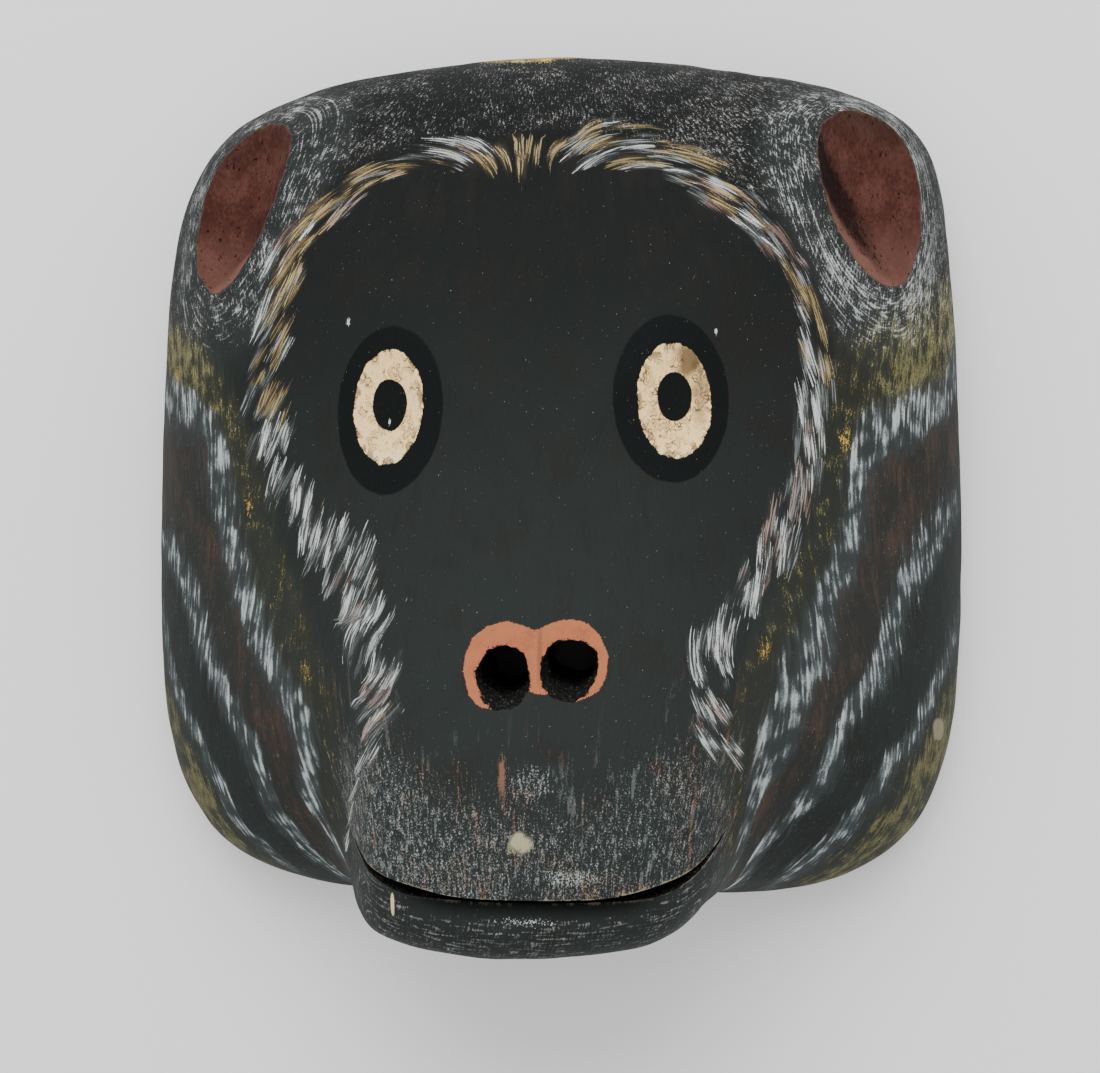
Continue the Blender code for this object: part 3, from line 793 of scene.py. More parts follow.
def fringe_fields(plan):
    """Work out, for places on the plan in millimetres, where they lie in the fringe's strokes."""
    table = np.array(FRINGE)
    steps = np.hypot(*np.diff(table[:, :2], axis=0).T)
    knots = np.concatenate([[0.0], np.cumsum(steps)])
    reach = np.linspace(0.0, knots[-1], FRINGE_SAMPLES)
    line = read_line(np.column_stack([knots, table]), reach)
    tangent = np.gradient(line[:, :2], reach, axis=0)
    heading = np.unwrap(np.arctan2(tangent[:, 1], tangent[:, 0]))
    turn = np.radians(line[:, 2]) - heading
    window = np.hanning(FRINGE_SMOOTHING + 2)[1:-1]
    turn = np.convolve(np.pad(turn, FRINGE_SMOOTHING // 2, mode="edge"), window / window.sum(), "valid")
    step = reach[1] - reach[0]
    across = np.cumsum(np.sin(turn)) * step
    along = np.cumsum(np.cos(turn)) * step
    nearest = np.empty(len(plan), dtype=int)
    for start in range(0, len(plan), FRINGE_CHUNK):
        part = slice(start, start + FRINGE_CHUNK)
        offset = plan[part, None, :] - line[None, :, :2]
        nearest[part] = np.argmin(np.sum(offset ** 2, axis=2), axis=1)
    offset = plan - line[nearest, :2]
    ahead, out = part_offset(offset, heading[nearest])
    sine = np.sin(turn[nearest])
    cosine = np.cos(turn[nearest])
    flow = np.stack([across[nearest] + sine * ahead - cosine * out,
                     along[nearest] + cosine * ahead + sine * out, out], axis=1)
    brush = np.stack([sine, cosine, line[nearest, 3]], axis=1)
    return flow, brush, line[nearest, 4:7]


def band_numbers(points):
    """Work out the number of the side band at each point, in between them where it is between."""
    numbers = np.empty(len(points))
    for bands, side in ((LEFT_BANDS, points[:, 0] < 0), (RIGHT_BANDS, points[:, 0] >= 0)):
        places = np.array([place for _, row in bands for place in row])
        wanted = np.array([number for number, row in bands for _ in row])
        knots = face_surface(places[:, 0], places[:, 1]) * MILLIMETRES

        def pulls(spots):
            parting = np.linalg.norm(spots[:, None, :] - knots[None, :, :], axis=2)
            return np.hypot(parting, BAND_BEND)

        flat = np.column_stack([np.ones(len(knots)), knots])
        size = len(knots)
        system = np.zeros((size + 4, size + 4))
        system[:size, :size] = pulls(knots)
        system[:size, size:] = flat
        system[size:, :size] = flat.T
        weights = np.linalg.solve(system, np.concatenate([wanted, np.zeros(4)]))
        spots = points[side]
        numbers[side] = (pulls(spots) @ weights[:size] + weights[size]
                         + spots @ weights[size + 1:])
    return numbers


def oval_distance(plan, oval):
    """Give roughly how far each place is outside an oval, in millimetres; less than 0 is inside."""
    x, y, half_width, half_height, lean = oval
    right, up = part_offset(plan - (x, y), math.radians(lean))
    share = np.hypot(right / half_width, up / half_height)
    return (share - 1.0) * min(half_width, half_height)


def outline_distance(plan, corners):
    """Give how far each place is outside a closed outline; less than 0 is inside."""
    starts = np.array(corners)
    ends = np.roll(starts, -1, axis=0)
    nearest = np.full(len(plan), FAR)
    inside = np.zeros(len(plan), dtype=bool)
    for start, end in zip(starts, ends):
        run = end - start
        share = np.clip(((plan - start) @ run) / (run @ run), 0.0, 1.0)
        nearest = np.minimum(nearest, np.linalg.norm(plan - start - share[:, None] * run, axis=1))
        crosses = (start[1] > plan[:, 1]) != (end[1] > plan[:, 1])
        rise = run[1] if run[1] != 0 else 1.0
        inside ^= crosses & (plan[:, 0] < start[0] + (plan[:, 1] - start[1]) * run[0] / rise)
    return np.where(inside, -nearest, nearest)


def ear_fields(points):
    """Give how far each point is outside the nearer ear hollow, and where it lies in that ear."""
    nearest = np.full(len(points), FAR)
    places = np.zeros((len(points), 3))
    for side, cut in EARS.items():
        centre, sizes, turn = gouge_frame(cut, EAR_DEPTH)
        sizes = np.array(sizes) * MILLIMETRES
        shares = (points - np.array(centre) * MILLIMETRES) @ np.array(turn.to_3x3()) / sizes
        distance = (np.linalg.norm(shares, axis=1) - 1.0) * sizes[0]
        nearer = distance < nearest
        nearest[nearer] = distance[nearer]
        outward = -1.0 if side == "left" else 1.0
        right_ear = 1.0 if side == "right" else 0.0
        ear = np.column_stack([shares[:, 0] * outward / EAR_RIM_SHARES[0],
                               shares[:, 1] / EAR_RIM_SHARES[1], np.full(len(points), right_ear)])
        places[nearer] = ear[nearer]
    return nearest, places


def store(mesh, name, *columns):
    """Keep three numbers for each vertex on the mesh, for the material to read."""
    layer = mesh.attributes.new(name, "FLOAT_VECTOR", "POINT")
    layer.data.foreach_set("vector", np.column_stack(columns).astype(np.float32).ravel())


def weave_places(points, grid_points, grid_places):
    """Carry the carved grid's own places over to the points of the cut mesh."""
    tree = KDTree(len(grid_points))
    for index, point in enumerate(grid_points):
        tree.insert(point, index)
    tree.balance()
    places = np.empty((len(points), 2))
    for index, point in enumerate(points):
        near = tree.find_n(point, 3)
        nearness = [1.0 / (distance + 1e-7) for _, _, distance in near]
        total = sum(nearness)
        places[index] = sum(grid_places[found] * (share / total)
                            for (_, found, _), share in zip(near, nearness))
    return places * WEAVE_SPAN


def cut_rims(mesh):
    """Give 1 for the vertices where two finishes meet and 0 for the others."""
    finishes, corners, vertices = (
        np.zeros(len(items), dtype=np.int32) for items in (mesh.polygons, mesh.polygons, mesh.loops))
    mesh.polygons.foreach_get("material_index", finishes)
    mesh.polygons.foreach_get("loop_total", corners)
    mesh.loops.foreach_get("vertex_index", vertices)
    finishes = np.repeat(finishes, corners)
    lowest = np.full(len(mesh.vertices), len(mesh.materials))
    highest = np.full(len(mesh.vertices), -1)
    np.minimum.at(lowest, vertices, finishes)
    np.maximum.at(highest, vertices, finishes)
    return (highest > lowest).astype(float)


def mark_paint(mesh, grid_points, grid_places):
    """Work out where each kind of paint lies and store it on the mesh."""
    bare_points = read_points(mesh)
    points = bare_points * MILLIMETRES
    plan = points[:, :2]
    x, y, z = points.T
    snout_out = np.abs(x - SNOUT_MIDDLE)
    flow, brush, tint = fringe_fields(plan)
    tint[:, 0] *= smooth_step(*FRINGE_LIFT, z)
    store(mesh, "fringe_flow", flow)
    store(mesh, "fringe_brush", brush)
    store(mesh, "fringe_tint", tint)
    eyes = [np.minimum(oval_distance(plan, left), oval_distance(plan, right))
            for left, right in zip(*EYE_PAINT)]
    store(mesh, "eye_places", *eyes)
    ear, ear_places = ear_fields(points)
    store(mesh, "paint_weave", weave_places(bare_points, grid_points, grid_places), ear)
    store(mesh, "ear_place", ear_places)
    light = smooth_step(*OLIVE_LIGHT_UP, y) * smooth_step(*OLIVE_LIGHT_OUT, np.abs(x))
    store(mesh, "paint_places", band_numbers(points), outline_distance(plan, NOSTRIL_PAINT), light)

    crown = smooth_step(*CROWN_OUT, flow[:, 2]) * smooth_step(*CROWN_UP, y)
    on_snout = smooth_step(*SNOUT_OUT, snout_out)
    top = MUZZLE_TOP + MUZZLE_TOP_RISE * smooth_step(*MUZZLE_TOP_OUT, snout_out)
    muzzle = smooth_step(*SNOUT_LIFT, z) * on_snout * smooth_step(0.0, MUZZLE_FADE, top - y)
    muzzle *= 1.0 - MUZZLE_RIGHT_LOSS * smooth_step(*MUZZLE_RIGHT, x)
    mouth = MOUTH_LINE_HEIGHT + MOUTH_LINE_RISE * (x / MOUTH_LINE_HALF) ** 4
    lip = smooth_step(*LIP_LIFT, z) * on_snout * smooth_step(*LIP_EDGE, y - mouth)
    store(mesh, "paint_amounts", crown, muzzle, lip)
    # The painted shadow under the upper lip: a dark band just below the middle of the mouth's line
    shade = smooth_step(*LIP_SHADOW_BELOW, mouth - y) * smooth_step(*LIP_SHADOW_EDGE, mouth - y)
    shade *= smooth_step(*LIP_SHADOW_OUT, np.abs(x))
    fleck = np.min([oval_distance(plan, (*mark, 0.0)) for mark in YELLOW_FLECKS], axis=0)
    store(mesh, "paint_shade", shade, cut_rims(mesh), fleck)


class Number:
    """A number on its way through a material's nodes; arithmetic on it adds Math nodes."""

    def __init__(self, finish, socket):
        self.finish = finish
        self.socket = socket

    def __add__(self, other):
        return self.finish.math("ADD", self, other)

    __radd__ = __add__

    def __sub__(self, other):
        return self.finish.math("SUBTRACT", self, other)

    def __rsub__(self, other):
        return self.finish.math("SUBTRACT", other, self)

    def __mul__(self, other):
        return self.finish.math("MULTIPLY", self, other)

    __rmul__ = __mul__

    def __truediv__(self, other):
        return self.finish.math("DIVIDE", self, other)

    def __abs__(self):
        return self.finish.math("ABSOLUTE", self)

    def step(self, low, high):
        """Rise smoothly from 0 at low to 1 at high."""
        return self.finish.ramp(self, low, high, 0.0, 1.0)

    def fall(self, low, high):
        """Fall smoothly from 1 at low to 0 at high."""
        return self.finish.ramp(self, low, high, 1.0, 0.0)

    def ridge(self, centre, half):
        """Give 1 where the number is at the centre, falling to 0 at half either side."""
        return abs(self - centre).fall(half * RIDGE_TOP, half)

    def sway(self, reach):
        """Turn a noise of 0 to 1 into one that sways about 0."""
        return (self - 0.5) * reach


class Finish:
    """A material and the few ways in which its nodes are added."""

    def __init__(self, name):
        self.material = bpy.data.materials.new(name)
        self.material.use_nodes = True
        self.tree = self.material.node_tree
        self.shader = self.tree.nodes["Principled BSDF"]

    def fill(self, socket, value):
        """Put a value or a link on a socket."""
        if isinstance(value, Number):
            value = value.socket
        if isinstance(value, bpy.types.NodeSocket):
            self.tree.links.new(value, socket)
        elif isinstance(value, tuple) and socket.type == "RGBA":
            socket.default_value = (*value, 1.0)
        else:
            socket.default_value = value

    def node(self, kind, settings, inputs):
        """Add a node with its settings, then put values or links on its sockets."""
        node = self.tree.nodes.new(kind)
        for name, value in settings.items():
            setattr(node, name, value)
        for key, value in inputs.items():
            self.fill(node.inputs[key], value)
        return node

    def number(self, node, output=0):
        """Take one output of a node as a number."""
        return Number(self, node.outputs[output])

    def math(self, operation, *values):
        """Add a Math node."""
        return self.number(self.node("ShaderNodeMath", {"operation": operation},
                                     dict(enumerate(values))))

    def ramp(self, value, low, high, start, end):
        """Go smoothly from start, where the value is low, to end, where it is high."""
        return self.number(self.node(
            "ShaderNodeMapRange", {"interpolation_type": "SMOOTHSTEP"},
            {"Value": value, "From Min": low, "From Max": high, "To Min": start, "To Max": end}))

    def outside(self, plan, oval):
        """Give how far a place on the plan is outside an oval, in shares of its size."""
        centre, size = oval
        right = (plan[0] - centre[0]) / size[0]
        up = (plan[1] - centre[1]) / size[1]
        return self.math("SQRT", right * right + up * up) - 1.0

    def stored(self, name):
        """Read three numbers stored on the mesh."""
        return self.split(self.node("ShaderNodeAttribute", {"attribute_name": name}, {}).outputs["Vector"])

    def split(self, vector):
        """Part a vector into its three numbers."""
        node = self.node("ShaderNodeSeparateXYZ", {}, {"Vector": vector})
        return [self.number(node, index) for index in range(3)]

    def join(self, x, y):
        """Make a vector of two numbers."""
        return self.node("ShaderNodeCombineXYZ", {}, {"X": x, "Y": y, "Z": 0.0}).outputs[0]

    def scaled(self, vector, factors):
        """Scale a vector along its axes."""
        return self.node("ShaderNodeVectorMath", {"operation": "MULTIPLY"},
                         {0: vector, 1: factors}).outputs[0]

    def noise(self, vector, dimensions, detail, roughness):
        """Read a noise whose features are about one unit of the vector across."""
        return self.number(self.node("ShaderNodeTexNoise", {"noise_dimensions": dimensions}, {
            "Vector": vector, "Scale": 1.0, "Detail": detail, "Roughness": roughness}))

    def solid_noise(self, place, factors, detail=2.0, roughness=0.5):
        """Read a noise that fills the wood, with the place scaled along its axes."""
        return self.noise(self.scaled(place, factors), "3D", detail, roughness)

    def flat_noise(self, across, along, detail=0.0, roughness=0.5):
        """Read a noise of two numbers."""
        return self.noise(self.join(across, along), "2D", detail, roughness)

    def mix(self, share, low, high):
        """Mix two colours."""
        return self.node("ShaderNodeMix", {"data_type": "RGBA"},
                         {0: share, 6: low, 7: high}).outputs[2]

    def place(self):
        """Give the object's own coordinates, in millimetres."""
        node = self.node("ShaderNodeTexCoord", {}, {})
        return self.scaled(node.outputs["Object"], (MILLIMETRES,) * 3)

    def paint(self, color, roughness, relief, depth):
        """Join the colour, the roughness and the relief to the shader."""
        bump = self.node("ShaderNodeBump", {}, {"Strength": 1.0, "Distance": depth, "Height": relief})
        wanted = {"Base Color": color, "Roughness": roughness,
                  "Specular IOR Level": DULL_SHEEN, "Normal": bump.outputs[0]}
        for name, value in wanted.items():
            self.fill(self.shader.inputs[name], value)
        return self.material


class Coat:
    """The colour of a finish while paint after paint is laid over it."""

    def __init__(self, finish, color):
        self.finish = finish
        self.color = color

    def lay(self, share, color):
        """Cover a share of what is there with another colour."""
        self.color = self.finish.mix(share, self.color, color)

    def brush(self, amount, grain, softness, strength, color):
        """Drag a dry brush over the grain: an amount of 0 paints nothing, 1 paints nearly all."""
        caught = (grain + amount * BRUSH_CATCH).step(BRUSH_START, BRUSH_START + softness)
        self.lay(caught * strength, color)

    def dab(self, plan, oval, frays, edge, strength, color):
        """Lay an oval dab; the frays move its edge, which fades from the first of two places."""
        self.lay(sum(frays, self.finish.outside(plan, oval)).fall(*edge) * strength, color)


def fringe_coat(coat, fields, speck, tufts):
    """Lay one coat of tufts of fine brush hairs round the plate."""
    finish = coat.finish
    (across, along, out), (sine, cosine, reach), (fullness, tan, pink) = fields
    width, length, shift, hair = tufts
    cell_across = across / width + shift
    cell_along = along / length + shift * 1.7
    cells = finish.node("ShaderNodeTexVoronoi", {"voronoi_dimensions": "2D"}, {
        "Vector": finish.join(cell_across, cell_along), "Scale": 1.0, "Randomness": 0.9})
    middle_across, middle_along, _ = finish.split(cells.outputs["Position"])
    luck, hue, tone = finish.split(cells.outputs["Color"])
    side = (cell_across - middle_across) * width
    ahead = (cell_along - middle_along) * length
    middle_out = (out - (sine * ahead - cosine * side)) / reach
    chance = middle_out.step(-0.12, 0.12) * middle_out.fall(0.6, 1.3) * fullness
    there = (chance - luck * 0.9).step(0.0, 0.10)
    side = side + ahead * (tone - 0.5) * 0.30
    bristle = finish.flat_noise((side + luck * 40.0) / hair, along * 0.14, 1.0, 0.7)
    ends = abs(ahead) / length + (0.5 - bristle) * 0.8
    body = ends.fall(0.08, 0.55) * (abs(side) / width).fall(0.15, 0.60)
    hairs = (bristle + speck.sway(0.30) + body * 0.30).step(0.76, 0.88) * there
    shade = Coat(finish, STROKE_GREY)
    shade.lay((bristle * 0.6 + tone * 0.5).step(0.42, 0.74), STROKE_WHITE)
    shade.lay(finish.math("LESS_THAN", hue, tan) * 0.85, STROKE_TAN)
    shade.lay(finish.math("LESS_THAN", 1.0 - hue, pink) * 0.7, STROKE_PINK)
    coat.lay(there * body * 0.10, shade.color)
    coat.lay(hairs * (0.36 + tone * 0.50), shade.color)


def side_bands(coat, plan, weave, band, band_light, blotch, mid, streak, grain):
    """Brush the olive, white and brown bands on the sides of the head, not below the chin."""
    finish = coat.finish
    # Painted shade on the steep lower sides: the white bands thin out from 38 mm above the rim down to 8 mm
    inner = plan[2].step(8.0, 38.0)
    shown = finish.math("MAXIMUM", abs(plan[0]).step(4.0, 26.0), plan[1].step(-86.0, -70.0))
    band = band + streak.sway(0.9) + blotch.sway(0.3)
    line = finish.flat_noise(weave[0] * 1.3, weave[1] * 0.13)
    stroke = line * 0.5 + grain * 0.5
    patch = (streak * 0.4 + mid * 0.3 + blotch * 0.3).step(0.38, 0.60)

    olive = band.ridge(OLIVE_BANDS[0], 1.0) * (0.40 + 0.50 * band_light)
    olive = (olive + band.ridge(OLIVE_BANDS[1], 1.1) * 0.8) * (0.50 + 0.50 * patch) * shown
    coat.lay(olive * 0.16, BAND_OLIVE)
    coat.brush(olive * 1.02, grain, 0.30, 0.85, BAND_OLIVE)
    dabs = band.ridge(OLIVE_BANDS[0], 0.9) * shown * (mid * 0.5 + streak * 0.5).step(0.44, 0.60)
    coat.brush(dabs * 0.50, grain, 0.22, 0.55, YELLOW_GREEN)

    brown = band.ridge(BROWN_BAND, 1.0) * (0.25 + 0.95 * blotch) * shown
    coat.lay(brown * 0.18, BAND_BROWN)
    coat.brush(brown * 0.85, streak * 0.6 + grain * 0.4, 0.34, 0.7, BAND_BROWN)

    low_bands = band.ridge(WHITE_BANDS[1], 0.54) * 0.95 + band.ridge(WHITE_BANDS[2], 0.50) * 0.95
    white = band.ridge(WHITE_BANDS[0], 0.66) * (0.6 + 0.4 * inner) + low_bands * (0.4 + 0.6 * inner)
    white = white * (0.40 + 0.54 * patch) * shown
    coat.lay(white * 0.15, BAND_BLUE)
    coat.brush(white * 0.92, stroke, 0.34, 0.74, BAND_BLUE)
    coat.brush(white * 0.66, stroke, 0.24, 0.52, STROKE_WHITE)
    coat.brush(band.step(-0.2, 0.6) * (0.12 + 0.40 * mid), grain, 0.25, 0.5, STROKE_GREY)


def crown_salt(coat, crown, ear, right, curl, blotch, mid, grain):
    """Dust the crown with grey salt, and with arcs of dabs round the ears."""
    dust = crown * (0.50 + 0.06 * right + 0.22 * (blotch * 0.6 + mid * 0.4).step(0.34, 0.66))
    coat.brush(dust * 0.72, grain, 0.30, 0.42, STROKE_WHITE)
    coat.brush(dust * 0.56, grain, 0.22, 0.40, STROKE_WHITE)
    near_ear = ear.ridge(5.5, 9.5) * crown * (0.14 + 0.36 * blotch + 0.36 * mid + 0.09 * right)
    coat.lay(near_ear * 0.16, STROKE_GREY)
    coat.brush(near_ear * 0.92, curl * 0.45 + grain * 0.55, 0.24, 0.58, STROKE_WHITE)


def muzzle_salt(coat, plan, muzzle, blotch, mid, streak, speck, grain):
    """Dust the muzzle with fine salt and thin upright scratches."""
    finish = coat.finish
    below_nose = finish.outside(plan, SALT_UNDER_NOSE).fall(-0.6, 0.6)
    above_lip = finish.outside(plan, SALT_OVER_LIP).fall(-0.6, 0.6)
    fine = speck * 0.25 + grain * 0.75
    warm = finish.mix((blotch * 0.5 + mid * 0.5).step(0.42, 0.56) * 0.75, STROKE_WHITE, SALT_WARM)
    tint = finish.mix(blotch.step(0.44, 0.60), STROKE_GREY, STROKE_PINK)
    spatter = muzzle * (0.49 + 0.30 * blotch + 0.22 * mid)
    coat.lay(muzzle * (mid * 0.6 + blotch * 0.4).step(0.48, 0.62) * 0.35, BROWN_BLACK)
    coat.brush(spatter * 0.86, fine, 0.30, 0.50, STROKE_GREY)
    coat.brush(spatter * 0.66 + below_nose * 0.28 + above_lip * 0.22, fine, 0.22, 0.46, warm)
    coat.lay((streak * 0.60 + grain * 0.40).step(0.57, 0.63) * muzzle * 0.45, tint)


def lip_paint(coat, plan, lip, painted_lip_shadow, rim, curl, blotch, mid, streak, grain):
    """Paint the shadow under the upper lip along the mouth's line, dust the lower lip and wear the edge of
    the upper lip.
    """
    # Painted shadow under the overhanging upper lip, in black
    coat.lay(painted_lip_shadow * 0.9, BLACK_PAINT_AND_SHADOW)
    dust = lip * (0.26 + 0.28 * blotch + 0.26 * mid) * (1.0 - painted_lip_shadow)
    coat.brush(dust * 0.84, curl * 0.35 + grain * 0.65, 0.24, 0.36, STROKE_WHITE)
    worn = (rim + grain.sway(1.2)).step(0.45, 0.85) * plan[1].fall(-66.0, -60.0)
    patchy = (streak * 0.5 + mid * 0.5 + abs(plan[0]) * 0.004).step(0.50, 0.64)
    coat.lay(worn * patchy * (1.0 - lip) * 0.6, WORN_EDGE)


def eye_paint(coat, plan, ragged, mid, speck):
    """Paint the black sockets, the crackled cream rings and the pupils, with a painted highlight low on
    each ring and painted shade in patches along its edge.
    """
    finish = coat.finish
    socket, ring, pupil = finish.stored("eye_places")
    wobble = mid.sway(1.6)
    coat.lay((socket + ragged * 0.35 + wobble * 0.2).fall(-0.15, 0.2), BLACK_PAINT_AND_SHADOW)
    vein = finish.flat_noise(plan[0] * 0.95, plan[1] * 0.70, 0.5, 0.6)
    worn = (abs(ring + 2.1) + mid.sway(3.5)).step(0.9, 2.4)
    crack = abs(vein - 0.5).fall(0.014, 0.050) * (mid + worn * 0.12).step(0.47, 0.56)
    cream = Coat(finish, EYE_CREAM)
    cream.lay((vein * 0.35 + mid * 0.35 + speck * 0.3).step(0.46, 0.58) * 0.45, EYE_TAN)
    # Painted highlight on the lower part of the cream ring, standing in for the lit lower wall of the
    # shallow dish
    painted_lower_highlight = (plan[1] + mid.sway(4.0)).fall(1.8, 4.0) * abs(ring + 0.8).fall(0.5, 1.2)
    cream.lay(painted_lower_highlight * 0.45, EYE_PAINTED_HIGHLIGHT)
    # Painted shade in patches just inside the edge of the cream ring
    edge_shade = abs(ring + 0.3).fall(0.2, 1.1) * (mid * 0.6 + vein * 0.4).step(0.46, 0.60)
    cream.lay(edge_shade * 0.50, EYE_CRACK_AND_SHADE)
    cream.lay(crack * 0.85, EYE_CRACK_AND_SHADE)
    cream.lay((speck + worn * 0.07 + vein.sway(0.3)).step(0.66, 0.75) * 0.75, EYE_CRACK_AND_SHADE)
    cream.dab(plan, EYE_STAIN, (wobble * 0.9, ragged), (-0.6, 0.5), 0.85, EYE_CRACK_AND_SHADE)
    cream.dab(plan, EYE_SMEAR, (wobble * 0.9, ragged), (-0.6, 0.5), 0.6, EYE_CRACK_AND_SHADE)
    edge = ring + ragged * 0.45 + wobble * 0.35 + vein.sway(0.4)
    coat.lay(edge.fall(-0.05, 0.12), cream.color)
    coat.lay((pupil + ragged * 0.35 + wobble * 0.3).fall(-0.05, 0.1), BLACK_PAINT_AND_SHADOW)


def nostril_paint(coat, plan, nostril, rim, ragged, mid, speck):
    """Paint the orange round the nostrils, dusty on the bridge and black in the cut edge."""
    orange = Coat(coat.finish, NOSTRIL_ORANGE)
    orange.lay((speck * 0.6 + mid * 0.4).step(0.50, 0.64) * 0.4, NOSTRIL_DUST)
    orange.dab(plan, NOSTRIL_BRIDGE, (ragged,), (-0.5, 0.5), 0.6, NOSTRIL_DUST)
    orange.lay((rim + speck.sway(2.4)).step(0.75, 1.05) * 0.9, BLACK_PAINT_AND_SHADOW)
    coat.lay((nostril + ragged * 0.8).fall(-0.04, 0.10), orange.color)


def small_marks(coat, plan, fleck, ragged, mid, grain, speck):
    """Add the single marks: spots, flecks, chips and the odd speck of dust."""
    coat.dab(plan, CREAM_DAB, (ragged * 1.3, mid.sway(1.4)), (-0.2, 0.2), 0.85, CREAM_SPOT)
    coat.dab(plan, PINK_DASH, (grain.sway(4.0),), (-0.3, 0.3), 0.7, STROKE_PINK)
    crest = coat.finish.outside(plan, YELLOW_CREST).fall(-0.4, 0.5) * plan[2].step(8.0, 20.0)
    coat.brush(crest * (0.50 + 0.45 * mid), grain, 0.25, 0.7, CREST_CREAM)
    crest = crest * plan[0].step(-9.0, -5.0)
    coat.brush(crest * (0.25 + 0.75 * mid), grain, 0.15, 0.8, BRIGHT_YELLOW)
    coat.lay((fleck + grain.sway(7.0)).fall(-1.0, 0.0) * 0.75, BRIGHT_YELLOW)
    coat.dab(plan, LIP_FLAKES, (speck.sway(8.0),), (-1.5, -0.7), 0.7, STROKE_WHITE)
    coat.dab(plan, LIP_CHIP, (mid.sway(0.8),), (-0.1, 0.2), 0.9, CHIPPED_WOOD)
    coat.dab(plan, WORN_SLIVER, (mid.sway(0.8),), (-0.2, 0.2), 0.7, WORN_EDGE)
    for oval in WHITE_FLECKS:
        coat.dab(plan, oval, (speck.sway(2.5),), (-0.2, 0.3), 0.85, STROKE_WHITE)
    coat.lay(speck.step(0.785, 0.81) * 0.7, STROKE_WHITE)


def face_finish():
    """Make the paint of the carved face."""
    finish = Finish("painted_face")
    place = finish.place()
    plan = finish.split(place)
    across, along, ear = finish.stored("paint_weave")
    band, nostril, band_light = finish.stored("paint_places")
    crown, muzzle, lip = finish.stored("paint_amounts")
    # The painted shadow under the upper lip, the rims of the cuts and the yellow flecks
    painted_lip_shadow, rim, fleck = finish.stored("paint_shade")

    dash = finish.flat_noise(across * 2.2, along * 0.60, 1.0, 0.6)
    streak = finish.flat_noise(across * 0.60, along * 0.085, 2.0, 0.75)
    speck = finish.solid_noise(place, (3.8, 2.8, 3.8), 1.0, 0.6)
    mid = finish.solid_noise(place, (0.34, 0.28, 0.34), 0.0)
    blotch = finish.solid_noise(place, (0.11, 0.09, 0.11), 1.0, 0.6)
    curl = finish.flat_noise(ear * 2.8 * (1.0 - lip) + along * lip * 2.4,
                             across * 0.32 + along * 0.24 * (1.0 - lip))
    grain = dash * 0.45 + speck * 0.55
    ragged = speck.sway(0.9) + blotch.sway(0.7)
    right = plan[0].step(5.0, 45.0)

    coat = Coat(finish, SLATE_DARK)
    coat.lay(plan[1].step(75.0, -35.0), SLATE_BLACK)
    browning = blotch * 0.6 + streak * 0.4 + right * plan[1].step(-10.0, 30.0) * 0.07
    coat.lay(browning.step(0.46, 0.66) * 0.38, BROWN_BLACK)
    side_bands(coat, plan, (across, along), band, band_light, blotch, mid, streak, grain)
    crown_salt(coat, crown, ear, right, curl, blotch, mid, grain)
    muzzle_salt(coat, plan, muzzle * (1.0 - lip), blotch, mid, streak, speck, grain)
    lip_paint(coat, plan, lip, painted_lip_shadow, rim, curl, blotch, mid, streak, grain)
    coat.lay((rim + ragged * 0.5).step(0.15, 1.0) * ear.fall(3.0, 5.0) * 0.75, EAR_EDGE)
    fields = [finish.stored(name) for name in ("fringe_flow", "fringe_brush", "fringe_tint")]
    for tufts in FRINGE_COATS:
        fringe_coat(coat, fields, speck, tufts)
    eye_paint(coat, plan, ragged, mid, speck)
    nostril_paint(coat, plan, nostril, rim, ragged, mid, speck)
    small_marks(coat, plan, fleck, ragged, mid, grain, speck)
    return finish.paint(coat.color, 0.60 + speck * 0.2, dash, BRISTLE_RELIEF)


